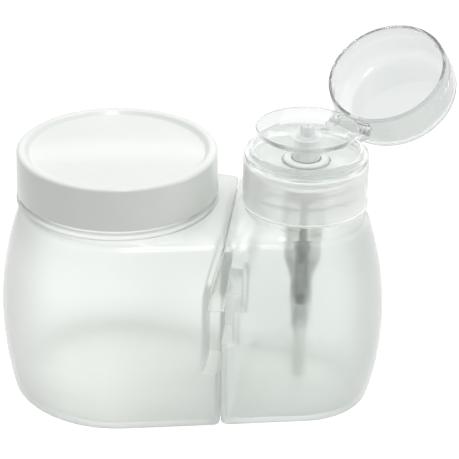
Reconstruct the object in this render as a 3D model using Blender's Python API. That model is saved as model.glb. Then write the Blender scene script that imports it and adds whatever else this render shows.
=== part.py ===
"""Cotton pad jar clipped to a push-down pump bottle, as an assembly of separate pieces.

Millimetre sizes are turned into metres by MM. X runs from the jar to the bottle, Y away from
the front, Z up. The origin is on the jar's axis, on the surface that both containers stand on.
"""

import math

import bmesh
import bpy
from mathutils import Vector

MM = 0.001

# Driving sizes of the two containers
BODY_HEIGHT = 70.0 * MM         # floor to the crease under both shoulders
BULGE_HEIGHT = 30.0 * MM        # height of the widest belly
JAR_BELLY_R = 41.5 * MM
JAR_BASE_DRAW = 3.5 * MM        # how far the base is drawn in from the belly
JAR_CREASE_DRAW = 7.5 * MM      # how far the crease is drawn in from the belly
BOTTLE_BELLY_R = 29.2 * MM
BOTTLE_BASE_DRAW = 4.3 * MM
BOTTLE_CREASE_DRAW = 7.0 * MM
MATE_STAND = 5.0 * MM           # jar lid's edge to the plane where the containers meet
LID_COLLAR_GAP = 8.5 * MM       # jar lid's edge to the screw collar
SEAT_GAP = 0.3 * MM             # between pieces that touch on the real object
RUN_GAP = 0.45 * MM             # between pieces that slide or turn on each other
OVERRUN = 2.0 * MM              # how far a cutter runs past what it cuts
MERGE_GAP = 0.001 * MM          # points closer than this are one point

# Walls and edges of the two blown containers
WALL = 1.6 * MM
FLOOR = 2.0 * MM
EDGE_R = 2.4 * MM               # upright corners beside the mating plane
BASE_ROUND = 1.2 * MM
CREASE_ROUND = 1.1 * MM
SHOULDER_RISE = 2.4 * MM        # from the crease to the foot of the neck

# Jar neck and lid
JAR_NECK_INSET = 1.6 * MM       # crease to neck
JAR_NECK_WALL = 1.8 * MM
JAR_FOOT_PROUD = 1.0 * MM
JAR_BEAD_PROUD = 2.7 * MM
JAR_BEAD_H = 1.8 * MM
JAR_NECK_H = 13.7 * MM          # shoulder top to mouth
LID_THREAD_ROOM = 1.0 * MM      # between the neck and the lid's bore
LID_SKIRT_WALL = 1.5 * MM
LID_TAPER = 0.4 * MM            # the skirt is narrower by this at its top
LID_BEAD_GAP = 1.6 * MM         # bead to the skirt's lower edge
LID_LAND = 3.1 * MM             # width of the raised rim round the top
LID_RECESS = 1.7 * MM
LID_RECESS_SLOPE = 1.6 * MM
LID_PLATE = 1.5 * MM
LID_DOME = 0.7 * MM
LID_EDGE_R = 1.4 * MM
LINER_H = 1.2 * MM

# Bottle neck, gasket and screw collar
NECK_INSET = 4.0 * MM           # crease to neck
NECK_WALL = 1.8 * MM
NECK_FOOT_PROUD = 2.3 * MM
NECK_FOOT_H = 2.0 * MM
NECK_H = 13.6 * MM
GASKET_H = 1.0 * MM
COLLAR_THREAD_ROOM = 1.4 * MM   # between the neck and the collar's bore
COLLAR_WALL = 1.9 * MM
COLLAR_FOOT_GAP = 0.6 * MM      # neck's foot to the collar's lower edge
COLLAR_RIM = 0.7 * MM           # rim above the deck
COLLAR_EDGE_R = 0.8 * MM
DECK_H = 1.4 * MM

# Clear top ring with the hinge ears
RING_SETBACK = 0.3 * MM         # collar's side to the ring's side
RING_STEP_W = 1.7 * MM
RING_WALL = 1.3 * MM
RING_STEP_H = 2.1 * MM
RING_H = 3.6 * MM
RING_EDGE_R = 0.5 * MM

# Hinge and flip cap
HINGE_TURN = math.radians(32.0)  # hinge's direction, right of straight back
HINGE_STAND = 4.6 * MM           # cap's rim to the hinge axis
HINGE_RISE = 1.9 * MM            # hinge axis above the ring's underside
CAP_OPEN = math.radians(146.0)   # how far the cap stands open
EAR_R = 2.3 * MM
EAR_W = 2.5 * MM
LUG_HALF_W = 5.2 * MM
LUG_R = 2.0 * MM
TRUNNION_R = 1.1 * MM
CAP_LAND_GAP = 0.5 * MM          # ring's land to the cap's bore
CAP_WALL = 1.4 * MM
CAP_SWELL = 1.1 * MM             # cap's widest part outside its rim
CAP_BELLY_Z = 10.5 * MM
CAP_SHOULDER_R = 6.0 * MM
CAP_H = 17.6 * MM

# Press dish, nozzle and stem
DISH_RIM_GAP = 0.6 * MM         # ring's bore to the dish's rim
DISH_FLARE = 4.6 * MM           # width of the flared rim
DISH_DEPTH = 2.8 * MM
DISH_WALL = 1.2 * MM
DISH_RISE = 8.1 * MM            # deck to the underside of the dish
TRAVEL = 5.4 * MM               # full push of the dish
STEM_R = 2.3 * MM
STEM_WALL = 0.8 * MM
STEM_SEAT_LIP = 0.7 * MM        # stem's bore to the hole in the ball's seat
STEM_SEAT_DROP = 4.4 * MM       # stem top down to the outlet ball's seat
HUB_WALL = 0.8 * MM
SKIRT_FLARE = 1.4 * MM          # the skirt is wider than the hub by this
SKIRT_WALL = 1.0 * MM
NOZZLE_SHANK_SET = 0.7 * MM     # stem's side to the nozzle's shank
NOZZLE_LIP = 0.85 * MM          # knob outside its shank
NOZZLE_RISE = 3.2 * MM
NOZZLE_BORE_R = 0.6 * MM
NOZZLE_SHANK_H = 2.2 * MM

# Pump housing, from its flange down to the tube socket
FLANGE_H = 1.0 * MM
CUP_ROOM = 1.5 * MM             # dish's skirt to the cup's bore
CUP_WALL = 1.6 * MM
CUP_FLOOR = 1.4 * MM
CUP_PROUD = 0.8 * MM            # cup's rim above the deck
HOUSING_WALL = 1.3 * MM
BARREL_BORE_R = 6.2 * MM
BARREL_H = 18.0 * MM            # cup seat down to the first step
WAIST_STEP = 1.2 * MM
WAIST_H = 13.0 * MM
FUNNEL_H = 8.0 * MM
CHAMBER_GAP = 0.55 * MM         # spring to the chamber's bore
CHAMBER_WALL = 0.8 * MM
CHAMBER_H = 6.0 * MM            # funnel foot down to the cage's ledge
LEDGE_W = 0.8 * MM
CELL_H = 4.0 * MM
INLET_BALL_ROOM = 0.6 * MM      # ball to the cell's bore
INLET_SEAT_LIP = 0.5 * MM       # ball's radius over its seat's
INLET_SEAT_H = 1.2 * MM
CAGE_H = 1.0 * MM
CAGE_LIP = 0.6 * MM             # ball's radius over the cage's bore
SOCKET_H = 8.0 * MM
TUBE_R = 2.3 * MM
TUBE_WALL = 0.7 * MM
TUBE_FLOOR_GAP = 2.2 * MM       # tube's end above the container's floor

# Piston, seal, plunger rod and spring
PISTON_DROP = 3.4 * MM          # cup's underside down to the piston's top
PISTON_H = 4.5 * MM
PISTON_GAP = 0.6 * MM           # piston to the barrel's bore
SEAL_GAP = 0.25 * MM            # seal to the barrel's bore
SEAL_H = 1.8 * MM
SEAL_DEPTH = 1.0 * MM
ROD_R = 1.3 * MM
ROD_HEAD_LIP = 0.7 * MM         # rod's head outside the stem
ROD_HEAD_H = 1.0 * MM
ROD_SHANK_H = 2.6 * MM
ROD_FOOT_LIP = 0.45 * MM        # rod's foot outside the spring
ROD_FOOT_H = 3.6 * MM
ROD_PILOT_H = 4.6 * MM
SPRING_WIRE = 0.6 * MM
SPRING_PILOT_GAP = 0.55 * MM    # rod's pilot to the spring
SPRING_CURLS = 9
SPRING_H = 15.0 * MM
SPRING_POINTS = 10              # points on each curl

# Clip fingers of the bottle and the pockets that take them, measured down from the crease
POCKET_DEPTH = 4.7 * MM         # into the jar, from the mating plane
POCKET_FLOOR_DROP = 46.0 * MM
POCKET_KNEE_DROP = 20.0 * MM    # where the pocket starts to narrow
POCKET_TOP_DROP = 2.0 * MM
POCKET_REACH = 7.5 * MM         # in from the crease's corner, along Y
FINGER_FOOT_DROP = 23.0 * MM    # the finger's lower end
FINGER_THICK = 2.6 * MM
SOCKET_DEPTH = 6.3 * MM         # bottle's recess behind the finger
SOCKET_LOW_DEPTH = 3.8 * MM
SOCKET_FLOOR_DROP = 35.0 * MM
SOCKET_TOP_DROP = 8.0 * MM
SOCKET_CORNER = 1.6 * MM

# Facets
ARC_STEPS = 22
FLAT_STEPS = 4
FACE_STEPS = 6
CORNER_STEPS = 3
ROUND_STEPS = 3
BELLY_STEPS = 7
LARGE_SEGMENTS = 48
MIDDLE_SEGMENTS = 40
SMALL_SEGMENTS = 24
TINY_SEGMENTS = 16
BALL_SEGMENTS = 14
BALL_RINGS = 9
SMOOTH_ANGLE = math.radians(35.0)

# Radii and places that follow from the sizes above
JAR_BASE_R = JAR_BELLY_R - JAR_BASE_DRAW
JAR_CREASE_R = JAR_BELLY_R - JAR_CREASE_DRAW
JAR_NECK_R = JAR_CREASE_R - JAR_NECK_INSET
JAR_FOOT_R = JAR_NECK_R + JAR_FOOT_PROUD
JAR_BEAD_R = JAR_NECK_R + JAR_BEAD_PROUD
LID_BORE_R = JAR_NECK_R + LID_THREAD_ROOM
LID_R = LID_BORE_R + LID_SKIRT_WALL
LID_TOP_R = LID_R - LID_TAPER
BOTTLE_BASE_R = BOTTLE_BELLY_R - BOTTLE_BASE_DRAW
BOTTLE_CREASE_R = BOTTLE_BELLY_R - BOTTLE_CREASE_DRAW
NECK_R = BOTTLE_CREASE_R - NECK_INSET
NECK_FOOT_R = NECK_R + NECK_FOOT_PROUD
COLLAR_BORE_R = NECK_R + COLLAR_THREAD_ROOM
COLLAR_R = COLLAR_BORE_R + COLLAR_WALL
MATE_X = LID_R + MATE_STAND                   # plane where the two containers meet
AXIS_SPACING = LID_R + LID_COLLAR_GAP + COLLAR_R
RING_R = COLLAR_R - RING_SETBACK
RING_LAND_R = RING_R - RING_STEP_W
RING_BORE_R = RING_LAND_R - RING_WALL
CAP_RIM_R = RING_LAND_R + CAP_LAND_GAP + CAP_WALL
CAP_BELLY_R = CAP_RIM_R + CAP_SWELL
HINGE_REACH = CAP_RIM_R + HINGE_STAND         # collar axis to hinge axis
DISH_RIM_R = RING_BORE_R - DISH_RIM_GAP
DISH_FLOOR_R = DISH_RIM_R - DISH_FLARE
STEM_BORE_R = STEM_R - STEM_WALL
STEM_SEAT_R = STEM_BORE_R - STEM_SEAT_LIP
OUTLET_BALL_R = STEM_BORE_R - SEAT_GAP
HUB_R = STEM_R + SEAT_GAP + HUB_WALL
SKIRT_R = HUB_R + SKIRT_FLARE
NOZZLE_SHANK_R = STEM_R - NOZZLE_SHANK_SET
NOZZLE_R = NOZZLE_SHANK_R + NOZZLE_LIP
FLANGE_R = NECK_R - SEAT_GAP
CUP_R = SKIRT_R + CUP_ROOM + CUP_WALL         # seen as a round base in the deck
WAIST_BORE_R = BARREL_BORE_R - WAIST_STEP
PISTON_R = BARREL_BORE_R - PISTON_GAP
SEAL_R = BARREL_BORE_R - SEAL_GAP
ROD_HEAD_R = STEM_R + ROD_HEAD_LIP
SPRING_R = ROD_R + SPRING_PILOT_GAP + 0.5 * SPRING_WIRE
ROD_FOOT_R = SPRING_R + 0.5 * SPRING_WIRE + ROD_FOOT_LIP
CHAMBER_BORE_R = SPRING_R + 0.5 * SPRING_WIRE + CHAMBER_GAP
CELL_BORE_R = CHAMBER_BORE_R - LEDGE_W
INLET_BALL_R = CELL_BORE_R - INLET_BALL_ROOM
INLET_SEAT_R = INLET_BALL_R - INLET_SEAT_LIP
CAGE_BORE_R = INLET_BALL_R - CAGE_LIP

# Heights that follow from the sizes above
POCKET_FLOOR = BODY_HEIGHT - POCKET_FLOOR_DROP
POCKET_KNEE = BODY_HEIGHT - POCKET_KNEE_DROP
POCKET_TOP = BODY_HEIGHT - POCKET_TOP_DROP
FINGER_FOOT = BODY_HEIGHT - FINGER_FOOT_DROP
SOCKET_FLOOR = BODY_HEIGHT - SOCKET_FLOOR_DROP
SOCKET_TOP = BODY_HEIGHT - SOCKET_TOP_DROP
SHOULDER_Z = BODY_HEIGHT + SHOULDER_RISE
JAR_MOUTH_Z = SHOULDER_Z + JAR_NECK_H
JAR_BEAD_Z = SHOULDER_Z + 0.5 * JAR_BEAD_H
LINER_Z = JAR_MOUTH_Z + SEAT_GAP
LID_PLATE_Z = LINER_Z + LINER_H + SEAT_GAP
LID_TOP_Z = LID_PLATE_Z + LID_PLATE + LID_RECESS
LID_LOW_Z = SHOULDER_Z + JAR_BEAD_H + LID_BEAD_GAP
NECK_TOP_Z = SHOULDER_Z + NECK_H
GASKET_Z = NECK_TOP_Z + SEAT_GAP
FLANGE_Z = GASKET_Z + GASKET_H + SEAT_GAP
DECK_Z = FLANGE_Z + FLANGE_H + SEAT_GAP
DECK_TOP_Z = DECK_Z + DECK_H
COLLAR_TOP_Z = DECK_TOP_Z + COLLAR_RIM
COLLAR_LOW_Z = SHOULDER_Z + NECK_FOOT_H + COLLAR_FOOT_GAP
RING_Z = COLLAR_TOP_Z + SEAT_GAP
HINGE_Z = RING_Z + HINGE_RISE
CAP_RIM_Z = RING_Z + RING_STEP_H + SEAT_GAP
DISH_Z = DECK_TOP_Z + DISH_RISE
DISH_FLOOR_Z = DISH_Z + DISH_WALL
CUP_TOP_Z = DECK_TOP_Z + CUP_PROUD
CUP_FLOOR_TOP_Z = CUP_TOP_Z - TRAVEL - SEAT_GAP
CUP_LOW_Z = CUP_FLOOR_TOP_Z - CUP_FLOOR
SKIRT_LOW_Z = CUP_FLOOR_TOP_Z + TRAVEL + SEAT_GAP
CUP_SEAT_Z = CUP_LOW_Z - SEAT_GAP
BARREL_LOW_Z = CUP_SEAT_Z - BARREL_H
WAIST_LOW_Z = BARREL_LOW_Z - WAIST_H
FUNNEL_LOW_Z = WAIST_LOW_Z - FUNNEL_H
LEDGE_Z = FUNNEL_LOW_Z - CHAMBER_H
INLET_SEAT_Z = LEDGE_Z - CELL_H
SOCKET_Z = INLET_SEAT_Z - INLET_SEAT_H
SOCKET_LOW_Z = SOCKET_Z - SOCKET_H
STEM_TOP_Z = DISH_FLOOR_Z + SEAT_GAP - NOZZLE_SHANK_H - SEAT_GAP
PISTON_TOP_Z = CUP_LOW_Z - PISTON_DROP
PISTON_LOW_Z = PISTON_TOP_Z - PISTON_H
STEM_LOW_Z = PISTON_LOW_Z
CAGE_Z = LEDGE_Z + SEAT_GAP
SPRING_Z = CAGE_Z + CAGE_H + SEAT_GAP
ROD_FOOT_Z = SPRING_Z + SPRING_H + SEAT_GAP


def clear_scene():
    """Takes every object out of the scene."""
    for item in list(bpy.data.objects):
        bpy.data.objects.remove(item, do_unlink=True)


def make_material(name, colour, roughness, alpha=1.0, metallic=0.0):
    """Returns a Principled material with the given look."""
    material = bpy.data.materials.new(name)
    material.use_nodes = True
    shader = material.node_tree.nodes["Principled BSDF"]
    shader.inputs["Base Color"].default_value = (*colour, 1.0)
    shader.inputs["Roughness"].default_value = roughness
    shader.inputs["Metallic"].default_value = metallic
    shader.inputs["Alpha"].default_value = alpha
    return material


def make_object(name, bm, material):
    """Turns a bmesh into a smooth shaded object in the scene."""
    bmesh.ops.recalc_face_normals(bm, faces=bm.faces)
    mesh = bpy.data.meshes.new(name)
    bm.to_mesh(mesh)
    bm.free()
    mesh.shade_smooth()
    mesh.set_sharp_from_angle(angle=SMOOTH_ANGLE)
    if material is not None:
        mesh.materials.append(material)
    item = bpy.data.objects.new(name, mesh)
    bpy.context.scene.collection.objects.link(item)
    return item


def as_guide(item):
    """Marks a shape that only cuts or fills another one."""
    item.hide_render = True
    item.display_type = "WIRE"
    return item


def combine(item, tool, operation):
    """Adds a Boolean that stays on the object."""
    step = item.modifiers.new(tool.name, "BOOLEAN")
    step.operation = operation
    step.solver = "EXACT"
    step.object = tool


def turned(name, profile, segments, material):
    """Spins a profile of (radius, height) points round Z. It closes on itself or on the axis."""
    bm = bmesh.new()
    points = [bm.verts.new((radius, 0.0, height)) for radius, height in profile]
    edges = [bm.edges.new(pair) for pair in zip(points, points[1:])]
    if profile[0][0] > 0.0 or profile[-1][0] > 0.0:
        edges.append(bm.edges.new((points[-1], points[0])))
    bmesh.ops.spin(bm, geom=points + edges, cent=(0.0, 0.0, 0.0), axis=(0.0, 0.0, 1.0),
                   angle=2.0 * math.pi, steps=segments, use_merge=True)
    bmesh.ops.remove_doubles(bm, verts=bm.verts, dist=MERGE_GAP)
    return make_object(name, bm, material)


def prism(name, outline, across, start, stop, material=None):
    """Extrudes an outline along one axis. Across names that axis; the outline has the other two."""
    bm = bmesh.new()

    def place(point, depth):
        first, second = point
        return (depth, first, second) if across == "X" else (first, depth, second)

    near = [bm.verts.new(place(point, start)) for point in outline]
    face = bm.faces.new(near)
    swept = bmesh.ops.extrude_face_region(bm, geom=[face])
    far = [part for part in swept["geom"] if isinstance(part, bmesh.types.BMVert)]
    shift = (stop - start, 0.0, 0.0) if across == "X" else (0.0, stop - start, 0.0)
    bmesh.ops.translate(bm, verts=far, vec=shift)
    return make_object(name, bm, material)


def arc(centre, radius, start, stop, steps):
    """Points on an arc, both ends included. Angles are in radians."""
    turn = (stop - start) / steps
    return [(centre[0] + radius * math.cos(start + turn * k),
             centre[1] + radius * math.sin(start + turn * k)) for k in range(steps + 1)]


def between(start, stop, steps):
    """Points that divide a straight run, without its ends."""
    return [(start[0] + (stop[0] - start[0]) * k / steps, start[1] + (stop[1] - start[1]) * k / steps)
            for k in range(1, steps)]


def closed_plan(runs):
    """Joins arcs into one loop. Each run is (arc, number of steps on the flat that follows it)."""
    loop = []
    for k, (points, steps) in enumerate(runs):
        following = runs[(k + 1) % len(runs)][0]
        loop += points + between(points[-1], following[0], steps)
    return loop


def loft(name, rings, material):
    """Joins rings of equal length with quads and closes both ends."""
    bm = bmesh.new()
    loops = [[bm.verts.new(point) for point in ring] for ring in rings]
    for low, high in zip(loops, loops[1:]):
        for k in range(len(low)):
            after = (k + 1) % len(low)
            bm.faces.new((low[k], low[after], high[after], high[k]))
    bm.faces.new(loops[0][::-1])
    bm.faces.new(loops[-1])
    return make_object(name, bm, material)


def belly_radius(height, base, belly, crease):
    """Radius of a container's round end: widest at the belly, drawn in both ways."""
    if height < BULGE_HEIGHT:
        share = (BULGE_HEIGHT - height) / BULGE_HEIGHT
        return belly - (belly - base) * share ** 2
    share = (height - BULGE_HEIGHT) / (BODY_HEIGHT - BULGE_HEIGHT)
    return belly - (belly - crease) * share ** 2


def jar_radius(height):
    return belly_radius(height, JAR_BASE_R, JAR_BELLY_R, JAR_CREASE_R)


def bottle_radius(height):
    return belly_radius(height, BOTTLE_BASE_R, BOTTLE_BELLY_R, BOTTLE_CREASE_R)


def front_tilt(height):
    """Angle of the flat front against X: it is tangent to both round ends."""
    return math.asin((jar_radius(height) - bottle_radius(height)) / AXIS_SPACING)


def front_depth(x, height, inset):
    """Distance of the flat front from the pair's middle plane."""
    tilt = front_tilt(height)
    return (jar_radius(height) - inset - x * math.sin(tilt)) / math.cos(tilt)


def outline(side, height, inset):
    """Plan of one container at a height: a round end, two flats and a mating face."""
    tilt = front_tilt(height)
    upright = 0.5 * math.pi - tilt
    corner = max(EDGE_R - inset, 0.3 * EDGE_R)
    if side == "jar":
        x = MATE_X - 0.5 * SEAT_GAP - inset - corner
        y = front_depth(x, height, inset + corner)
        front = arc((x, -y), corner, -upright, 0.0, CORNER_STEPS)
        rear = arc((x, y), corner, 0.0, upright, CORNER_STEPS)
        end = arc((0.0, 0.0), jar_radius(height) - inset, upright, 2.0 * math.pi - upright, ARC_STEPS)
        return closed_plan([(front, FACE_STEPS), (rear, FLAT_STEPS), (end, FLAT_STEPS)])
    x = MATE_X + 0.5 * SEAT_GAP + inset + corner
    y = front_depth(x, height, inset + corner)
    rear = arc((x, y), corner, upright, math.pi, CORNER_STEPS)
    front = arc((x, -y), corner, math.pi, 2.0 * math.pi - upright, CORNER_STEPS)
    end = arc((AXIS_SPACING, 0.0), bottle_radius(height) - inset, -upright, upright, ARC_STEPS)
    return closed_plan([(rear, FACE_STEPS), (front, FLAT_STEPS), (end, FLAT_STEPS)])


def whole_outline(height):
    """Plan of both containers together, without the parting."""
    upright = 0.5 * math.pi - front_tilt(height)
    jar_end = arc((0.0, 0.0), jar_radius(height), upright, 2.0 * math.pi - upright, ARC_STEPS)
    bottle_end = arc((AXIS_SPACING, 0.0), bottle_radius(height), -upright, upright, ARC_STEPS)
    return jar_end + bottle_end


def at_height(points, height):
    return [(x, y, height) for x, y in points]


def drawn_round(points, centre_x, radius, height):
    """Moves the points of a plan onto a circle, each along its own direction."""
    ring = []
    for x, y in points:
        way = Vector((x - centre_x, y)).normalized() * radius
        ring.append((centre_x + way.x, way.y, height))
    return ring


def body_rings(side, inset, low, crease):
    """Rings of a container's body, from its rounded foot to its rounded crease."""
    rings = []
    for k in range(ROUND_STEPS + 1):
        angle = 0.5 * math.pi * k / ROUND_STEPS
        height = low + BASE_ROUND * (1.0 - math.cos(angle))
        rings.append((height, inset + BASE_ROUND * (1.0 - math.sin(angle))))
    for k in range(1, BELLY_STEPS + 1):
        share = k / BELLY_STEPS
        rings.append((low + BASE_ROUND + share * (crease - CREASE_ROUND - low - BASE_ROUND), inset))
    for k in range(1, ROUND_STEPS):
        angle = 0.5 * math.pi * k / ROUND_STEPS
        rings.append((crease - CREASE_ROUND * (1.0 - math.sin(angle)),
                      inset + CREASE_ROUND * (1.0 - math.cos(angle))))
    return [at_height(outline(side, height, step), height) for height, step in rings]


def corner_blocks(name, outline_xz, grow):
    """Two prisms, one at each corner of the mating faces, as one guide."""
    inner = front_depth(MATE_X, BODY_HEIGHT, 0.0) - POCKET_REACH - grow
    outer = JAR_BELLY_R + OVERRUN
    front = prism(name, outline_xz, "Y", -outer, -inner)
    rear = prism(name + "_rear", outline_xz, "Y", inner, outer)
    combine(front, as_guide(rear), "UNION")
    return as_guide(front)


def jar_pocket_outline(grow):
    """Pocket in the jar's corner: its upper end leans back to the mating plane."""
    edge = MATE_X + OVERRUN
    deep = MATE_X - POCKET_DEPTH - grow
    return [(edge, POCKET_FLOOR - grow), (deep, POCKET_FLOOR - grow),
            (deep, POCKET_KNEE + 0.4 * grow), (MATE_X - 0.5 * SEAT_GAP - grow, POCKET_TOP + grow),
            (edge, POCKET_TOP + grow)]


def bottle_socket_outline(grow):
    """Recess in the bottle's corner, behind its finger."""
    edge = MATE_X - OVERRUN
    low = MATE_X + SOCKET_LOW_DEPTH + grow
    deep = MATE_X + SOCKET_DEPTH + grow
    corner = SOCKET_CORNER
    return [(edge, SOCKET_FLOOR - grow), (low, SOCKET_FLOOR - grow), (low, FINGER_FOOT - grow),
            (deep - corner, FINGER_FOOT - grow), (deep, FINGER_FOOT + corner - grow),
            (deep, SOCKET_TOP - corner + grow), (deep - corner, SOCKET_TOP + grow),
            (edge, SOCKET_TOP + grow)]


def finger_outline():
    """Finger that hangs from the bottle's shoulder and leans into the jar's pocket."""
    lean = MATE_X - POCKET_DEPTH + RUN_GAP
    root = MATE_X + SOCKET_DEPTH
    return [(root, SOCKET_TOP + OVERRUN), (root, POCKET_TOP - SEAT_GAP),
            (MATE_X + 0.5 * SEAT_GAP, POCKET_TOP - SEAT_GAP), (lean, POCKET_KNEE),
            (lean, FINGER_FOOT + 0.5 * FINGER_THICK), (lean + 0.5 * FINGER_THICK, FINGER_FOOT),
            (lean + 2.0 * FINGER_THICK, FINGER_FOOT),
            (MATE_X + 0.5 * FINGER_THICK, POCKET_KNEE),
            (MATE_X + FINGER_THICK, SOCKET_TOP + OVERRUN)]


def build_jar(material):
    """Pad jar: belly, flat front, shoulder, bead and threaded neck, all one wall."""
    rings = body_rings("jar", 0.0, 0.0, BODY_HEIGHT)
    plan = outline("jar", BODY_HEIGHT, 0.0)
    bead_low = SHOULDER_Z
    bead_high = bead_low + JAR_BEAD_H
    for radius, height in ((JAR_FOOT_R, SHOULDER_Z), (JAR_BEAD_R - 0.3 * JAR_BEAD_H, bead_low),
                           (JAR_BEAD_R, JAR_BEAD_Z), (JAR_BEAD_R - 0.3 * JAR_BEAD_H, bead_high),
                           (JAR_NECK_R, bead_high + SEAT_GAP), (JAR_NECK_R, JAR_MOUTH_Z)):
        rings.append(drawn_round(plan, 0.0, radius, height))
    jar = loft("jar_body", rings, material)
    inner_crease = BODY_HEIGHT - WALL
    hollow = body_rings("jar", WALL, FLOOR, inner_crease)
    bore = JAR_NECK_R - JAR_NECK_WALL
    for height in (SHOULDER_Z - WALL, JAR_MOUTH_Z + OVERRUN):
        hollow.append(drawn_round(plan, 0.0, bore, height))
    cavity = as_guide(loft("jar_cavity", hollow, None))
    combine(cavity, corner_blocks("jar_pocket_jacket", jar_pocket_outline(WALL), WALL), "DIFFERENCE")
    combine(jar, corner_blocks("jar_pockets", jar_pocket_outline(0.0), 0.0), "DIFFERENCE")
    combine(jar, cavity, "DIFFERENCE")
    return jar


def build_bottle(material):
    """Pump bottle: same height and front as the jar, with two clip fingers at its corners."""
    rings = body_rings("bottle", 0.0, 0.0, BODY_HEIGHT)
    plan = outline("bottle", BODY_HEIGHT, 0.0)
    for radius, height in ((NECK_FOOT_R, SHOULDER_Z), (NECK_FOOT_R, SHOULDER_Z + NECK_FOOT_H),
                           (NECK_R, SHOULDER_Z + NECK_FOOT_H), (NECK_R, NECK_TOP_Z)):
        rings.append(drawn_round(plan, AXIS_SPACING, radius, height))
    bottle = loft("bottle_body", rings, material)
    hollow = body_rings("bottle", WALL, FLOOR, BODY_HEIGHT - WALL)
    bore = NECK_R - NECK_WALL
    for height in (SHOULDER_Z - WALL, NECK_TOP_Z + OVERRUN):
        hollow.append(drawn_round(plan, AXIS_SPACING, bore, height))
    cavity = as_guide(loft("bottle_cavity", hollow, None))
    jacket = corner_blocks("bottle_socket_jacket", bottle_socket_outline(WALL), WALL)
    combine(cavity, jacket, "DIFFERENCE")
    combine(bottle, corner_blocks("bottle_sockets", bottle_socket_outline(0.0), 0.0), "DIFFERENCE")
    combine(bottle, cavity, "DIFFERENCE")
    levels = [BODY_HEIGHT * k / BELLY_STEPS for k in range(BELLY_STEPS + 1)]
    skin = as_guide(loft("pair_skin", [at_height(whole_outline(z), z) for z in levels], None))
    fingers = corner_blocks("bottle_fingers", finger_outline(), -SEAT_GAP)
    combine(fingers, skin, "INTERSECT")
    combine(bottle, fingers, "UNION")
    return bottle


def build_lid(material):
    """Opaque screw lid: tapered skirt, rounded rim, sloped recess and slightly domed plate."""
    recess_r = LID_TOP_R - LID_LAND
    plate_r = recess_r - LID_RECESS_SLOPE
    plate_top = LID_PLATE_Z + LID_PLATE
    profile = [(0.0, plate_top + LID_DOME), (0.55 * plate_r, plate_top + 0.7 * LID_DOME),
               (plate_r, plate_top), (recess_r, LID_TOP_Z - 0.3 * LID_RECESS),
               (recess_r + 0.3 * LID_RECESS, LID_TOP_Z)]
    profile += arc((LID_TOP_R - LID_EDGE_R, LID_TOP_Z - LID_EDGE_R), LID_EDGE_R,
                   0.5 * math.pi, 0.0, ROUND_STEPS)
    profile += [(LID_R, LID_LOW_Z + 0.5 * LID_EDGE_R), (LID_R - 0.3 * LID_EDGE_R, LID_LOW_Z),
                (LID_BORE_R, LID_LOW_Z), (LID_BORE_R, LID_PLATE_Z), (0.0, LID_PLATE_Z)]
    return turned("jar_lid", profile, LARGE_SEGMENTS, material)


def ring_piece(name, outer, inner, low, height, segments, material):
    """Plain ring of square section."""
    high = low + height
    profile = [(outer, low), (outer, high), (inner, high), (inner, low)]
    return turned(name, profile, segments, material)


def build_liner(material):
    """Foam wad under the lid's plate: a disc that seals on the jar's mouth."""
    profile = [(0.0, LINER_Z + LINER_H), (JAR_NECK_R, LINER_Z + LINER_H), (JAR_NECK_R, LINER_Z),
               (0.0, LINER_Z)]
    return turned("jar_lid_liner", profile, LARGE_SEGMENTS, material)


def build_collar(material):
    """Screw collar: a straight skirt, a deck set below its rim and a hole for the pump's cup."""
    hole = CUP_R + RUN_GAP
    profile = arc((COLLAR_R - COLLAR_EDGE_R, COLLAR_TOP_Z - COLLAR_EDGE_R), COLLAR_EDGE_R,
                  0.5 * math.pi, 0.0, ROUND_STEPS)
    profile += [(COLLAR_R, COLLAR_LOW_Z), (COLLAR_BORE_R, COLLAR_LOW_Z), (COLLAR_BORE_R, DECK_Z),
                (hole, DECK_Z), (hole, DECK_TOP_Z), (RING_BORE_R, DECK_TOP_Z),
                (RING_BORE_R, COLLAR_TOP_Z)]
    return turned("screw_collar", profile, LARGE_SEGMENTS, material)


def build_top_ring(material):
    """Clear ring on the collar, with a land for the cap and two hinge ears."""
    high = RING_Z + RING_H
    step = RING_Z + RING_STEP_H
    profile = [(RING_BORE_R, high), (RING_LAND_R - RING_EDGE_R, high),
               (RING_LAND_R, high - RING_EDGE_R), (RING_LAND_R, step), (RING_R - RING_EDGE_R, step),
               (RING_R, step - RING_EDGE_R), (RING_R, RING_Z), (RING_BORE_R, RING_Z)]
    ring = turned("top_ring", profile, LARGE_SEGMENTS, material)
    root = RING_LAND_R
    knee = HINGE_REACH - EAR_R
    ear = [(root, RING_Z + RING_EDGE_R), (root, step - RING_EDGE_R),
           (knee, step - RING_EDGE_R)]
    ear += arc((HINGE_REACH, HINGE_Z), EAR_R, math.pi, -0.5 * math.pi, 3 * ROUND_STEPS)[1:]
    inner = LUG_HALF_W + SEAT_GAP
    for name, start in (("ear_left", -inner - EAR_W), ("ear_right", inner)):
        side = as_guide(prism(name, ear, "X", start, start + EAR_W))
        side.parent = ring
        combine(ring, side, "UNION")
    hole = hinge_bar("ear_holes", [(TRUNNION_R + SEAT_GAP, inner + EAR_W + OVERRUN)])
    hole.location = (0.0, HINGE_REACH, HINGE_Z)
    hole.parent = ring
    combine(ring, hole, "DIFFERENCE")
    ring.location = (AXIS_SPACING, 0.0, 0.0)
    ring.rotation_euler = (0.0, 0.0, -HINGE_TURN)
    return ring


def hinge_bar(name, steps):
    """Round bar along X, thickest in the middle. Steps lists (radius, half length)."""
    profile = [(0.0, -steps[-1][1])]
    for radius, half in reversed(steps):
        profile.append((radius, -half))
        if radius < steps[0][0]:
            profile.append((radius, -steps[steps.index((radius, half)) - 1][1]))
    mirrored = [(radius, -half) for radius, half in reversed(profile)]
    bar = turned(name, profile + mirrored, TINY_SEGMENTS, None)
    bar.rotation_euler = (0.0, 0.5 * math.pi, 0.0)
    return as_guide(bar)


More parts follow.
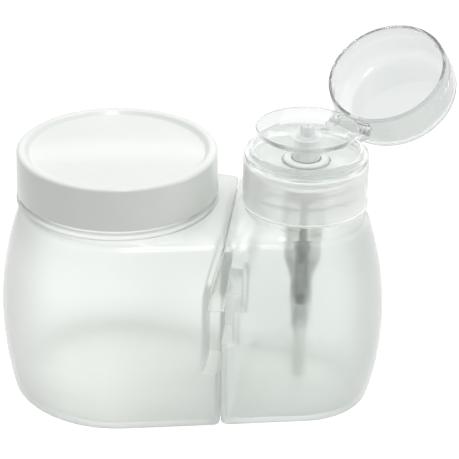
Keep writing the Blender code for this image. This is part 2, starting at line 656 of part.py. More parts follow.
def cap_profile():
    """Cap in section, rim at the bottom, drawn about its own axis from the hinge's height."""
    rim = CAP_RIM_Z - HINGE_Z
    top = rim + CAP_H
    belly = rim + CAP_BELLY_Z
    bend = (CAP_BELLY_R - CAP_SHOULDER_R, top - CAP_SHOULDER_R)
    inner_r = CAP_SHOULDER_R - CAP_WALL
    outer = [(0.0, top)] + arc(bend, CAP_SHOULDER_R, 0.5 * math.pi, 0.0, ROUND_STEPS + 1)
    outer += [(CAP_BELLY_R, belly), (CAP_RIM_R, rim)]
    inner = [(CAP_RIM_R - CAP_WALL, rim), (CAP_BELLY_R - CAP_WALL, belly)]
    inner += arc(bend, inner_r, 0.0, 0.5 * math.pi, ROUND_STEPS + 1)
    inner += [(0.0, top - CAP_WALL)]
    return outer + inner


def build_cap(material):
    """Clear flip cap with its hinge lug, drawn shut and then turned open about the hinge."""
    cap = turned("flip_cap", cap_profile(), LARGE_SEGMENTS, material)
    for vertex in cap.data.vertices:
        vertex.co.y -= HINGE_REACH
    rim = CAP_RIM_Z - HINGE_Z
    root = CAP_RIM_R - 0.5 * CAP_WALL - HINGE_REACH
    arm = [(root, rim + 0.5 * LUG_R), (root, rim + 2.5 * LUG_R), (-LUG_R, LUG_R), (0.0, LUG_R),
           (0.0, -0.5 * LUG_R), (-0.5 * LUG_R, 0.0)]
    lug = as_guide(prism("cap_arm", arm, "X", -LUG_HALF_W, LUG_HALF_W))
    reach = LUG_HALF_W + SEAT_GAP + EAR_W
    barrel = hinge_bar("cap_barrel", [(LUG_R, LUG_HALF_W), (TRUNNION_R, reach)])
    for guide in (lug, barrel):
        combine(cap, guide, "UNION")
        guide.parent = cap
    turn = HINGE_TURN
    cap.location = (AXIS_SPACING + HINGE_REACH * math.sin(turn), HINGE_REACH * math.cos(turn), HINGE_Z)
    cap.rotation_euler = (-CAP_OPEN, 0.0, -turn)
    return cap


def build_dish(material):
    """Clear press dish: flared rim, flat floor, centre hole and a skirt over the stem."""
    rim_z = DISH_FLOOR_Z + DISH_DEPTH
    hole = NOZZLE_SHANK_R + SEAT_GAP
    ceiling = STEM_TOP_Z + SEAT_GAP
    profile = [(hole, DISH_FLOOR_Z), (DISH_FLOOR_R, DISH_FLOOR_Z),
               (0.5 * (DISH_FLOOR_R + DISH_RIM_R), DISH_FLOOR_Z + 0.36 * DISH_DEPTH),
               (DISH_RIM_R - 0.5 * DISH_WALL, rim_z), (DISH_RIM_R, rim_z - 0.2 * DISH_WALL),
               (DISH_RIM_R, rim_z - 0.6 * DISH_WALL),
               (0.5 * (DISH_FLOOR_R + DISH_RIM_R), DISH_Z + 0.36 * DISH_DEPTH),
               (DISH_FLOOR_R, DISH_Z), (HUB_R, DISH_Z), (SKIRT_R, SKIRT_LOW_Z),
               (SKIRT_R - SKIRT_WALL, SKIRT_LOW_Z), (STEM_R + SEAT_GAP, DISH_Z - NOZZLE_SHANK_H),
               (STEM_R + SEAT_GAP, ceiling), (hole, ceiling)]
    return turned("press_dish", profile, MIDDLE_SEGMENTS, material)


def build_nozzle(material):
    """Small knob in the dish's centre, with the outlet hole through it."""
    seat = DISH_FLOOR_Z + SEAT_GAP
    low = seat - NOZZLE_SHANK_H
    top = seat + NOZZLE_RISE
    profile = [(NOZZLE_BORE_R, top), (NOZZLE_R - 0.3 * NOZZLE_R, top),
               (NOZZLE_R, top - 0.3 * NOZZLE_R), (NOZZLE_R, seat), (NOZZLE_SHANK_R, seat),
               (NOZZLE_SHANK_R, low), (NOZZLE_BORE_R, low)]
    return turned("outlet_nozzle", profile, TINY_SEGMENTS, material)


def build_stem(material):
    """Hollow stem from the dish to the piston, with the outlet ball's seat near its top."""
    seat = STEM_TOP_Z - STEM_SEAT_DROP
    profile = [(STEM_R, STEM_LOW_Z), (STEM_R, STEM_TOP_Z), (STEM_BORE_R, STEM_TOP_Z),
               (STEM_BORE_R, seat), (STEM_SEAT_R, seat), (STEM_SEAT_R, seat - STEM_R),
               (STEM_BORE_R, seat - STEM_R - STEM_SEAT_R), (STEM_BORE_R, STEM_LOW_Z)]
    return turned("pump_stem", profile, TINY_SEGMENTS, material)


def seated_ball(name, radius, seat_r, seat_z, material):
    """Valve ball just above the edge of the hole that it shuts."""
    rise = math.sqrt(radius ** 2 - seat_r ** 2) + SEAT_GAP
    bm = bmesh.new()
    bmesh.ops.create_uvsphere(bm, u_segments=BALL_SEGMENTS, v_segments=BALL_RINGS, radius=radius)
    ball = make_object(name, bm, material)
    ball.location = (AXIS_SPACING, 0.0, seat_z + rise)
    return ball


def build_cup(material):
    """Cover of the pump: a cup that the dish's skirt sinks into, with the stem's hole."""
    hole = STEM_R + RUN_GAP
    profile = [(CUP_R - 0.5 * CUP_WALL, CUP_TOP_Z), (CUP_R, CUP_TOP_Z - 0.5 * CUP_WALL),
               (CUP_R, CUP_LOW_Z), (hole, CUP_LOW_Z), (hole, CUP_FLOOR_TOP_Z),
               (CUP_R - CUP_WALL, CUP_FLOOR_TOP_Z), (CUP_R - CUP_WALL, CUP_TOP_Z)]
    return turned("pump_cover", profile, SMALL_SEGMENTS, material)


def build_housing(material):
    """Pump housing: flange, cup seat, barrel, waist, funnel, spring chamber and tube socket."""
    seat_bore = CUP_R + SEAT_GAP
    flange_top = FLANGE_Z + FLANGE_H
    chamber_r = CHAMBER_BORE_R + CHAMBER_WALL
    socket_bore = TUBE_R + SEAT_GAP
    socket_r = socket_bore + CHAMBER_WALL
    outer = [(FLANGE_R, flange_top), (FLANGE_R, FLANGE_Z), (seat_bore + HOUSING_WALL, FLANGE_Z),
             (seat_bore + HOUSING_WALL, CUP_SEAT_Z - HOUSING_WALL),
             (BARREL_BORE_R + HOUSING_WALL, CUP_SEAT_Z - 2.0 * HOUSING_WALL),
             (BARREL_BORE_R + HOUSING_WALL, BARREL_LOW_Z),
             (WAIST_BORE_R + HOUSING_WALL, BARREL_LOW_Z - HOUSING_WALL),
             (WAIST_BORE_R + HOUSING_WALL, WAIST_LOW_Z), (chamber_r, FUNNEL_LOW_Z),
             (chamber_r, SOCKET_Z), (socket_r, SOCKET_Z - CHAMBER_WALL), (socket_r, SOCKET_LOW_Z)]
    inner = [(socket_bore, SOCKET_LOW_Z), (socket_bore, SOCKET_Z), (INLET_SEAT_R, SOCKET_Z),
             (INLET_SEAT_R, INLET_SEAT_Z), (CELL_BORE_R, INLET_SEAT_Z), (CELL_BORE_R, LEDGE_Z),
             (CHAMBER_BORE_R, LEDGE_Z), (CHAMBER_BORE_R, FUNNEL_LOW_Z),
             (WAIST_BORE_R, WAIST_LOW_Z), (WAIST_BORE_R, BARREL_LOW_Z - HOUSING_WALL),
             (BARREL_BORE_R, BARREL_LOW_Z), (BARREL_BORE_R, CUP_SEAT_Z), (seat_bore, CUP_SEAT_Z),
             (seat_bore, flange_top)]
    return turned("pump_housing", outer + inner, SMALL_SEGMENTS, material)


def build_piston(material):
    """Piston on the stem's foot, with a groove for its seal."""
    bore = STEM_R + SEAT_GAP
    groove_r = SEAL_R - SEAL_DEPTH - SEAT_GAP
    groove_low = 0.5 * (PISTON_TOP_Z + PISTON_LOW_Z) - 0.5 * SEAL_H - SEAT_GAP
    groove_high = groove_low + SEAL_H + 2.0 * SEAT_GAP
    profile = [(bore, PISTON_TOP_Z), (PISTON_R, PISTON_TOP_Z), (PISTON_R, groove_high),
               (groove_r, groove_high), (groove_r, groove_low), (PISTON_R, groove_low),
               (PISTON_R, PISTON_LOW_Z), (bore, PISTON_LOW_Z)]
    return turned("piston", profile, SMALL_SEGMENTS, material)


def build_rod(material):
    """Plunger rod below the piston: its foot pushes the spring and its pilot guides it."""
    head_top = PISTON_LOW_Z - SEAT_GAP
    head_low = head_top - ROD_HEAD_H
    foot_top = ROD_FOOT_Z + ROD_FOOT_H
    shank_r = STEM_BORE_R - SEAT_GAP
    tip = ROD_FOOT_Z - ROD_PILOT_H
    profile = [(0.0, head_top + ROD_SHANK_H), (shank_r, head_top + ROD_SHANK_H),
               (shank_r, head_top), (ROD_HEAD_R, head_top), (ROD_HEAD_R, head_low),
               (ROD_R, head_low), (ROD_R, foot_top), (ROD_FOOT_R, foot_top - 0.5 * ROD_R),
               (ROD_FOOT_R, ROD_FOOT_Z), (ROD_R, ROD_FOOT_Z), (ROD_R, tip + 0.5 * ROD_R),
               (0.5 * ROD_R, tip), (0.0, tip)]
    return turned("plunger_rod", profile, TINY_SEGMENTS, material)


def coil_points():
    """Points along the spring's wire, from its lower end to its upper end."""
    low = SPRING_Z + 0.5 * SPRING_WIRE
    rise = SPRING_H - SPRING_WIRE
    total = SPRING_CURLS * SPRING_POINTS
    points = []
    for k in range(total + 1):
        angle = 2.0 * math.pi * k / SPRING_POINTS
        points.append(Vector((SPRING_R * math.cos(angle), SPRING_R * math.sin(angle),
                              low + rise * k / total)))
    return points


def build_spring(material):
    """Return spring as one unbroken wire. Prints the least gap between neighbouring curls."""
    points = coil_points()
    curve = bpy.data.curves.new("return_spring", "CURVE")
    curve.dimensions = "3D"
    curve.bevel_depth = 0.5 * SPRING_WIRE
    curve.bevel_resolution = 1
    curve.use_fill_caps = True
    spline = curve.splines.new("POLY")
    spline.points.add(len(points) - 1)
    for knot, point in zip(spline.points, points):
        knot.co = (*point, 1.0)
    curve.materials.append(material)
    spring = bpy.data.objects.new("return_spring", curve)
    bpy.context.scene.collection.objects.link(spring)
    spring.location = (AXIS_SPACING, 0.0, 0.0)
    least = min((points[b] - points[a]).length for a in range(len(points))
                for b in range(a + SPRING_POINTS // 2, len(points)))
    print("least gap between the spring's curls, mm:", round((least - SPRING_WIRE) / MM, 3))
    return spring


def on_bottle_axis(item):
    item.location.x = AXIS_SPACING
    return item


def main():
    clear_scene()
    frosted = make_material("frosted_plastic", (0.86, 0.88, 0.86), 0.45, alpha=0.55)
    opaque = make_material("white_plastic", (0.93, 0.94, 0.94), 0.3)
    milky = make_material("milky_plastic", (0.88, 0.89, 0.87), 0.4, alpha=0.75)
    clear = make_material("clear_plastic", (0.93, 0.95, 0.95), 0.08, alpha=0.3)
    natural = make_material("natural_plastic", (0.82, 0.84, 0.82), 0.35, alpha=0.8)
    grey = make_material("grey_plastic", (0.32, 0.34, 0.34), 0.45)
    foam = make_material("foam", (0.9, 0.9, 0.88), 0.9)
    rubber = make_material("seal_rubber", (0.75, 0.75, 0.72), 0.6)
    steel = make_material("steel", (0.55, 0.56, 0.57), 0.3, metallic=1.0)

    build_jar(frosted)
    build_lid(opaque)
    build_liner(foam)
    build_bottle(frosted)
    gasket = ring_piece("neck_gasket", NECK_R, NECK_R - NECK_WALL, GASKET_Z, GASKET_H,
                        MIDDLE_SEGMENTS, foam)
    on_bottle_axis(gasket)
    on_bottle_axis(build_collar(milky))
    build_top_ring(clear)
    build_cap(clear)
    on_bottle_axis(build_dish(clear))
    on_bottle_axis(build_nozzle(natural))
    on_bottle_axis(build_stem(natural))
    seated_ball("outlet_ball", OUTLET_BALL_R, STEM_SEAT_R, STEM_TOP_Z - STEM_SEAT_DROP, steel)
    on_bottle_axis(build_cup(natural))
    on_bottle_axis(build_housing(natural))
    on_bottle_axis(build_piston(natural))
    seal_low = 0.5 * (PISTON_TOP_Z + PISTON_LOW_Z) - 0.5 * SEAL_H
    on_bottle_axis(ring_piece("piston_seal", SEAL_R, SEAL_R - SEAL_DEPTH, seal_low, SEAL_H,
                              SMALL_SEGMENTS, rubber))
    on_bottle_axis(build_rod(grey))
    build_spring(steel)
    cage = ring_piece("ball_cage", CHAMBER_BORE_R - SEAT_GAP, CAGE_BORE_R, CAGE_Z, CAGE_H,
                      TINY_SEGMENTS, natural)
    on_bottle_axis(cage)
    seated_ball("inlet_ball", INLET_BALL_R, INLET_SEAT_R, INLET_SEAT_Z, steel)
    tube_low = FLOOR + TUBE_FLOOR_GAP
    tube = ring_piece("dip_tube", TUBE_R, TUBE_R - TUBE_WALL, tube_low,
                      SOCKET_Z - SEAT_GAP - tube_low, TINY_SEGMENTS, natural)
    on_bottle_axis(tube)


main()
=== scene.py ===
"""Cotton pad jar clipped to a push-down pump bottle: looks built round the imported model.

Millimetre sizes are turned into metres by MM. X runs from the jar to the bottle, Y away from
the front, Z up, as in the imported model.
"""

import math

import bmesh
import bpy
from mathutils import Matrix, Vector


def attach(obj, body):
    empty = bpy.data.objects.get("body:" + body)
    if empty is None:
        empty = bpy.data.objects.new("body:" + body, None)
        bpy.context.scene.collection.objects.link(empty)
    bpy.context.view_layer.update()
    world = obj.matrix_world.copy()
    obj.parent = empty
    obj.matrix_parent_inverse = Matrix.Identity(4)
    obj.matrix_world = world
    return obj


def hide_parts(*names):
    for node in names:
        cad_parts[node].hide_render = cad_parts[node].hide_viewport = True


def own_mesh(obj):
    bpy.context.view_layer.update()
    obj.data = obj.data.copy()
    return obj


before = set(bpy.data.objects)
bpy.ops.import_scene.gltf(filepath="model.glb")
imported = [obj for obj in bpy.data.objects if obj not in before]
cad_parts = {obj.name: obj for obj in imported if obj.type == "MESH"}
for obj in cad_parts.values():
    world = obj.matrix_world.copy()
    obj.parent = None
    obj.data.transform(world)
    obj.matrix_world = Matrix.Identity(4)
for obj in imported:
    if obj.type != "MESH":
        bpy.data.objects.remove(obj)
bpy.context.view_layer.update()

MM = 0.001

# Light levels, floor and lamps
WORLD_LEVEL = 0.29
FLOOR_LIFT = 0.34
FLOOR_FADE = (0.26, 0.60)       # distances from the middle between which the floor turns white
FLOOR_REACH = 3.0
FLOOR_DROP = 0.05 * MM
LAMP_AIM = (0.03, 0.0, 0.05)
LAMPS = {                       # place, width and depth, watts
    "overhead": ((0.0, 0.10, 0.90), (1.0, 0.8), 4.2),
    "back_left": ((-0.45, 0.45, 0.55), (0.4, 0.4), 0.12),
    "back_strip": ((-0.12, 0.75, 0.44), (0.5, 0.05), 0.11),
    "right": ((0.80, 0.05, 0.38), (0.4, 0.5), 1.0),
    "front_box": ((0.147, -0.437, 0.748), (0.15, 0.35), 1.4)}

# Camera, fitted to the photo's frame
CAM_TARGET = Vector((30.0, 0.0, 50.0)) * MM
CAM_ELEVATION = math.radians(27.19)
CAM_YAW = math.radians(5.38)
CAM_ROLL = math.radians(1.10)
CAM_DISTANCE = 609.0 * MM
CAM_RIGHT = 9.12 * MM
CAM_UP = 10.0 * MM
SENSOR_WIDTH = 36.0
FOCAL_PIXELS = 1728.0
FRAME_PIXELS = 459.0

# Outer shape of the two containers
BODY_HEIGHT = 70.0 * MM
BULGE_HEIGHT = 30.0 * MM
JAR_BELLY_R = 41.5 * MM
JAR_BASE_R = 38.0 * MM
JAR_CREASE_R = 34.0 * MM
BOTTLE_BELLY_R = 29.2 * MM
BOTTLE_BASE_R = 24.9 * MM
BOTTLE_CREASE_R = 22.2 * MM
MATE_X = 39.9 * MM
AXIS_SPACING = 64.9 * MM
SEAT_GAP = 0.3 * MM
WALL = 1.6 * MM
FLOOR = 2.0 * MM
EDGE_R = 2.4 * MM
BASE_ROUND = 1.6 * MM
CREASE_ROUND = 1.6 * MM
SHOULDER_Z = 72.4 * MM
PUSH_UP = 0.8 * MM              # the base is this much off the floor inside its standing ring
STANDING_W = 3.0 * MM           # width of the ring that the containers stand on
BORE_DROP = 0.02 * MM           # the bore starts this much under the mouth
SHOULDER_SHARES = (0.04, 0.1, 0.2, 0.35, 0.5, 0.65, 0.8, 0.92)
INNER_SHARES = (0.1, 0.3, 0.5, 0.7, 0.9, 0.96)

# Jar neck, liner and lid
JAR_FOOT_R = 33.4 * MM
JAR_NECK_R = 32.4 * MM
JAR_BEAD_R = 35.1 * MM
JAR_BEAD_H = 1.8 * MM
JAR_BEAD_ROUND = 0.85 * MM
JAR_BORE_R = 30.6 * MM
JAR_MOUTH_Z = 86.1 * MM
LINER_Z = 86.4 * MM
LINER_H = 1.2 * MM
LINER_BULGE = 0.12 * MM
LID_BORE_R = 33.4 * MM
LID_R = 34.9 * MM
LID_TOP_R = 34.5 * MM
LID_LOW_Z = 75.8 * MM
LID_PLATE_Z = 87.9 * MM
LID_PLATE = 1.5 * MM
LID_TOP_Z = 91.1 * MM
LID_LAND = 3.1 * MM
LID_RECESS_SLOPE = 1.2 * MM
LID_DOME = 0.7 * MM
LID_PLATE_DROP = 0.05 * MM
LID_RIM_DROP = 0.25 * MM
LID_RIM_RUN = 0.5 * MM
LID_EDGE_R = 2.0 * MM
LID_PITCH = 8.0 * MM

# Bottle neck, gasket and screw collar
NECK_FOOT_R = 20.5 * MM
NECK_FOOT_H = 2.0 * MM
NECK_R = 18.2 * MM
NECK_BORE_R = 16.4 * MM
NECK_TOP_Z = 86.0 * MM
GASKET_Z = 86.3 * MM
GASKET_H = 1.0 * MM
COLLAR_BORE_R = 19.6 * MM
COLLAR_R = 21.5 * MM
COLLAR_LOW_Z = 75.0 * MM
COLLAR_TOP_Z = 91.0 * MM
DECK_Z = 88.9 * MM
DECK_TOP_Z = 90.3 * MM
COLLAR_PITCH = 4.2 * MM
COLLAR_BEAD = 0.3 * MM
COLLAR_BEAD_H = 1.0 * MM

# Top ring, hinge and flip cap
RING_Z = 91.3 * MM
RING_STEP_Z = 93.4 * MM
RING_TOP_Z = 94.9 * MM
RING_R = 21.2 * MM
RING_LAND_R = 19.5 * MM
RING_BORE_R = 18.2 * MM
HINGE_TURN = math.radians(32.0)
HINGE_REACH = 26.0 * MM
HINGE_Z = 93.2 * MM
HINGE_PLACE = (AXIS_SPACING + HINGE_REACH * math.sin(HINGE_TURN),
               HINGE_REACH * math.cos(HINGE_TURN), HINGE_Z)
CAP_OPEN = math.radians(146.0)
EAR_R = 2.3 * MM
EAR_W = 2.5 * MM
EAR_INSET = 0.5 * MM
LUG_HALF_W = 5.2 * MM
LUG_R = 2.0 * MM
TRUNNION_R = 1.1 * MM
CAP_RIM_R = 21.4 * MM
CAP_BELLY_R = 22.5 * MM
CAP_WALL = 1.4 * MM
CAP_RIM_Z = 93.7 * MM
CAP_H = 17.6 * MM
CAP_BELLY_Z = 10.5 * MM
CAP_SHOULDER_R = 6.0 * MM
CAP_CROWN = 0.25 * MM
CAP_STEP = 0.35 * MM
CAP_STEP_SHARE = 0.45

# Press dish, nozzle and stem
DISH_Z = 98.4 * MM
DISH_FLOOR_Z = 99.6 * MM
DISH_RIM_Z = 102.4 * MM
DISH_RIM_R = 17.6 * MM
DISH_FLOOR_R = 13.0 * MM
DISH_WALL = 1.2 * MM
HUB_R = 3.4 * MM
SKIRT_R = 4.8 * MM
SKIRT_TOP_R = 3.9 * MM
SKIRT_WALL = 1.0 * MM
SKIRT_LOW_Z = 91.1 * MM
SKIRT_SHOULDER = 0.8 * MM
DISH_UNDERCUT = 0.1 * MM
DISH_CLOUD = (4.6 * MM, 6.0 * MM)
STEM_R = 2.3 * MM
STEM_BORE_R = 1.5 * MM
STEM_SEAT_R = 0.8 * MM
STEM_TOP_Z = 97.4 * MM
STEM_SEAT_Z = 93.0 * MM
NOZZLE_SHANK_R = 1.6 * MM
NOZZLE_R = 2.45 * MM
NOZZLE_BORE_R = 0.6 * MM
NOZZLE_SHANK_H = 2.2 * MM
NOZZLE_RISE = 3.2 * MM

# Pump unit inside the bottle
FLANGE_R = 17.9 * MM
FLANGE_Z = 87.6 * MM
FLANGE_H = 1.0 * MM
CUP_R = 7.9 * MM
CUP_WALL = 1.6 * MM
CUP_TOP_Z = 91.1 * MM
CUP_FLOOR_TOP_Z = 85.4 * MM
CUP_LOW_Z = 84.0 * MM
CUP_SEAT_Z = 83.7 * MM
CUP_LIP_GAP = 0.35 * MM
CUP_LIP_H = 0.9 * MM
HOUSING_WALL = 1.3 * MM
BARREL_BORE_R = 6.2 * MM
BARREL_LOW_Z = 65.7 * MM
WAIST_BORE_R = 5.0 * MM
WAIST_LOW_Z = 52.7 * MM
FUNNEL_LOW_Z = 44.7 * MM
CHAMBER_BORE_R = 3.0 * MM
CHAMBER_WALL = 0.8 * MM
LEDGE_Z = 38.7 * MM
CELL_BORE_R = 2.2 * MM
INLET_SEAT_R = 1.1 * MM
INLET_SEAT_Z = 34.7 * MM
SOCKET_Z = 33.5 * MM
SOCKET_LOW_Z = 25.5 * MM
TUBE_R = 2.3 * MM
TUBE_WALL = 0.7 * MM
TUBE_LOW_Z = 4.2 * MM
PISTON_LOW_Z = 76.1 * MM
ROD_R = 1.3 * MM
ROD_HEAD_R = 3.0 * MM
ROD_FOOT_R = 2.9 * MM
ROD_FOOT_Z = 55.6 * MM
ROD_FOOT_H = 3.6 * MM
ROD_TIP_H = 4.6 * MM
ROD_NECK_H = 2.6 * MM
ROD_HEAD_H = 1.0 * MM
ROD_SLOPE = 0.6 * MM
SPRING_Z = 40.3 * MM
SPRING_H = 15.0 * MM
SPRING_R = 2.15 * MM
SPRING_WIRE = 0.6 * MM
SPRING_CURLS = 9

# Clip fingers, the jar's pockets and the bottle's sockets
POCKET_DEPTH = 4.7 * MM
POCKET_FLOOR = 24.0 * MM
POCKET_KNEE = 50.0 * MM
POCKET_TOP = 68.0 * MM
CLIP_INNER_Y = 19.7 * MM
SOCKET_DEPTH = 6.3 * MM
SOCKET_LOW_DEPTH = 3.8 * MM
SOCKET_FLOOR = 35.0 * MM
SOCKET_TOP = 62.0 * MM
FINGER_FOOT = 47.0 * MM
FINGER_THICK = 2.6 * MM
FINGER_TOP = 67.4 * MM
FINGER_ROUND = 1.1 * MM
FINGER_RIM = 0.9 * MM
FINGER_SUNK = 0.05 * MM         # the finger's face lies this much behind the flat front
RUN_GAP = 0.45 * MM
DRAFT_W = 1.0 * MM              # a pocket's walls lean over this width

# Threads: pitch, turns, height at the start, width, height off the wall, start angle
JAR_THREAD = (LID_PITCH, 1.25, 76.6 * MM, 1.6 * MM, 0.75 * MM, 0.0)
LID_THREAD = (LID_PITCH, 1.1, 77.6 * MM, 1.4 * MM, -0.7 * MM, 2.4)
NECK_THREAD = (COLLAR_PITCH, 2.0, 76.6 * MM, 1.4 * MM, 0.95 * MM, 0.0)
COLLAR_THREAD = (COLLAR_PITCH, 2.2, 78.2 * MM, 1.3 * MM, -0.9 * MM, 1.2)
THREAD_FORM = ((0.3, 0.92), (0.8, 0.62), (1.0, 0.32))
THREAD_SUNK = 0.35 * MM
THREAD_LIFT = 0.02 * MM
THREAD_FADE = 6.0               # a thread's ends fade over one turn divided by this

# Fillet radii, from the smallest up
TINY = 0.1 * MM
FINE = 0.2 * MM
SLIM = 0.25 * MM
SOFT = 0.3 * MM
MILD = 0.4 * MM
FULL = 0.5 * MM
WIDE = 0.8 * MM
BROAD = 0.9 * MM
DEEP = 1.5 * MM
BAR_ROUND = 0.35 * MM           # ends of the hinge's ears and lug

# Noise and haze
NOISE_SPAN = (0.3, 0.7)
NOISE_ROUGHNESS = 0.55
HAZE_SPAN = (0.15, 0.80)

# Colour sockets of a Mix node: both inputs and the result
MIX_FIRST, MIX_SECOND, MIX_RESULT = 6, 7, 2

# Facets
SIDE_STEPS = 34
END_STEPS = 44
FLAT_STEPS = 8
FACE_STEPS = 7
STEP_STEPS = 8
CORNER_STEPS = 7
ROUND_STEPS = 7
LARGE_SEGMENTS = 192
MIDDLE_SEGMENTS = 128
SMALL_SEGMENTS = 64
THREAD_SEGMENTS = 72
CURL_SEGMENTS = 32
WIRE_SEGMENTS = 12
FILLET_STEPS = 6
FILLET_SHARE = 0.48             # longest reach of a fillet, as a share of a side
LEAST_SWEEP = 0.01              # corners that turn less than this stay as they are
SMOOTH_ANGLE = math.radians(38.0)
MERGE_GAP = 0.001 * MM


def span(start, stop, count):
    """Evenly spaced values from start to stop, both included."""
    return [start + (stop - start) * k / count for k in range(count + 1)]


def eased(share):
    """Share held between 0 and 1, with a soft start and stop."""
    held = min(1.0, max(0.0, share))
    return held * held * (3.0 - 2.0 * held)


def filleted(corners, closed=True, steps=FILLET_STEPS):
    """Rounds the corners of a plane figure. Each corner is (first, second, fillet radius)."""
    points = []
    count = len(corners)
    for k, (first, second, fillet) in enumerate(corners):
        here = Vector((first, second))
        at_end = not closed and k in (0, count - 1)
        if fillet == 0.0 or at_end:
            points.append((here.x, here.y))
            continue
        before = Vector(corners[k - 1][:2]) - here
        after = Vector(corners[(k + 1) % count][:2]) - here
        half = 0.5 * before.angle(after)
        reach = min(fillet / math.tan(half), FILLET_SHARE * before.length, FILLET_SHARE * after.length)
        start = before.normalized() * reach
        stop = after.normalized() * reach
        middle = (before.normalized() + after.normalized()).normalized() * (reach / math.cos(half))
        sweep = (start - middle).angle(stop - middle)
        if sweep < LEAST_SWEEP:
            points.append((here.x, here.y))
            continue
        for share in span(0.0, 1.0, steps):
            way = (math.sin((1.0 - share) * sweep) * (start - middle)
                   + math.sin(share * sweep) * (stop - middle)) / math.sin(sweep)
            spot = here + middle + way
            points.append((spot.x, spot.y))
    return points


def arc(centre, radius, start, stop, steps):
    """Points on an arc, both ends included."""
    return [(centre[0] + radius * math.cos(a), centre[1] + radius * math.sin(a))
            for a in span(start, stop, steps)]


def placed(name, data):
    """Puts an object in the scene."""
    item = bpy.data.objects.new(name, data)
    bpy.context.scene.collection.objects.link(item)
    return item


def make_piece(name, bm, material, body=None, nodes=()):
    """Turns a bmesh into a piece. With a body it rides on it and stands for CAD nodes."""
    bmesh.ops.remove_doubles(bm, verts=bm.verts, dist=MERGE_GAP)
    bmesh.ops.recalc_face_normals(bm, faces=bm.faces)
    mesh = bpy.data.meshes.new(name)
    bm.to_mesh(mesh)
    bm.free()
    mesh.shade_smooth()
    mesh.set_sharp_from_angle(angle=SMOOTH_ANGLE)
    mesh.materials.append(material)
    item = placed(name, mesh)
    if body:
        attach(item, body)
        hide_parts(*nodes)
    return item


def bridge(bm, low, high):
    """Joins two loops of points, or a loop and a single point, with faces."""
    count = max(len(low), len(high))
    for k in range(count):
        after = (k + 1) % count
        if len(low) == 1:
            bm.faces.new((low[0], high[after], high[k]))
        elif len(high) == 1:
            bm.faces.new((low[k], low[after], high[0]))
        else:
            bm.faces.new((low[k], low[after], high[after], high[k]))


def shell(rings, closed=False, ends=False):
    """Joins rings of points in order. Closed joins the last to the first, ends puts a face on both."""
    bm = bmesh.new()
    loops = [[bm.verts.new(point) for point in ring] for ring in rings]
    for low, high in zip(loops, loops[1:]):
        bridge(bm, low, high)
    if closed:
        bridge(bm, loops[-1], loops[0])
    if ends:
        bm.faces.new(loops[0][::-1])
        bm.faces.new(loops[-1])
    return bm


def turned(profile, segments, centre_x=0.0):
    """Spins a profile of (radius, height) round an upright axis."""
    rings = []
    for radius, height in profile:
        if radius < MERGE_GAP:
            rings.append([(centre_x, 0.0, height)])
            continue
        rings.append([(centre_x + radius * math.cos(a), radius * math.sin(a), height)
                      for a in span(0.0, math.tau, segments)[:-1]])
    on_axis = profile[0][0] < MERGE_GAP and profile[-1][0] < MERGE_GAP
    return shell(rings, not on_axis)


def spun(name, node, material, body, segments, corners, centre_x=AXIS_SPACING,
         steps=FILLET_STEPS):
    """Makes a turned piece that stands for one CAD node. A profile from the axis is left open."""
    profile = filleted(corners, corners[0][0] > 0.0, steps)
    return make_piece(name, turned(profile, segments, centre_x), material, body, [node])


def combine(item, shape, operation="UNION"):
    """Joins a shape to a piece's mesh or cuts it away."""
    tool = make_piece("tool", shape, item.data.materials[0])
    step = item.modifiers.new("join", "BOOLEAN")
    step.operation = operation
    step.solver = "EXACT"
    step.object = tool
    bpy.context.view_layer.update()
    result = bpy.data.meshes.new_from_object(item.evaluated_get(
        bpy.context.evaluated_depsgraph_get()))
    item.modifiers.clear()
    item.data = result
    bm = bmesh.new()
    bm.from_mesh(result)
    bmesh.ops.dissolve_degenerate(bm, dist=MERGE_GAP, edges=bm.edges)
    bm.to_mesh(result)
    bm.free()
    result.shade_smooth()
    result.set_sharp_from_angle(angle=SMOOTH_ANGLE)
    bpy.data.objects.remove(tool, do_unlink=True)


# Container plans

def belly_radius(height, base, belly, crease):
    """Radius of a container's round end: widest at the belly, drawn in both ways."""
    if height < BULGE_HEIGHT:
        return belly - (belly - base) * ((BULGE_HEIGHT - height) / BULGE_HEIGHT) ** 2
    rise = (height - BULGE_HEIGHT) / (BODY_HEIGHT - BULGE_HEIGHT)
    return belly - (belly - crease) * rise ** 2


def jar_radius(height):
    return belly_radius(height, JAR_BASE_R, JAR_BELLY_R, JAR_CREASE_R)


def bottle_radius(height):
    return belly_radius(height, BOTTLE_BASE_R, BOTTLE_BELLY_R, BOTTLE_CREASE_R)


def front_tilt(height):
    """Angle of the flat front against X: it is tangent to both round ends."""
    return math.asin((jar_radius(height) - bottle_radius(height)) / AXIS_SPACING)


def front_depth(x, height, inset):
    """Distance of the flat front from the pair's middle plane."""
    tilt = front_tilt(height)
    return (jar_radius(height) - inset - x * math.sin(tilt)) / math.cos(tilt)


def step_share(height, middle):
    """How far a step with leaning walls has risen at a height."""
    return eased((height - middle) / DRAFT_W + 0.5)


def jar_notch(height, grow):
    """Depth of the jar's corner pockets at a height."""
    ramp = (POCKET_TOP + grow - height) / (POCKET_TOP - POCKET_KNEE)
    softened = sum(min(1.0, max(0.0, ramp + 0.05 * k)) for k in (-1.0, -0.5, 0.0, 0.5, 1.0)) / 5.0
    return POCKET_DEPTH * softened * step_share(height, POCKET_FLOOR - grow)


def bottle_notch(height, grow):
    """Depth of the bottle's corner sockets at a height."""
    low = SOCKET_LOW_DEPTH * step_share(height, SOCKET_FLOOR - grow)
    high = (SOCKET_DEPTH - SOCKET_LOW_DEPTH) * step_share(height, FINGER_FOOT - grow)
    return (low + high) * (1.0 - step_share(height, SOCKET_TOP + grow))


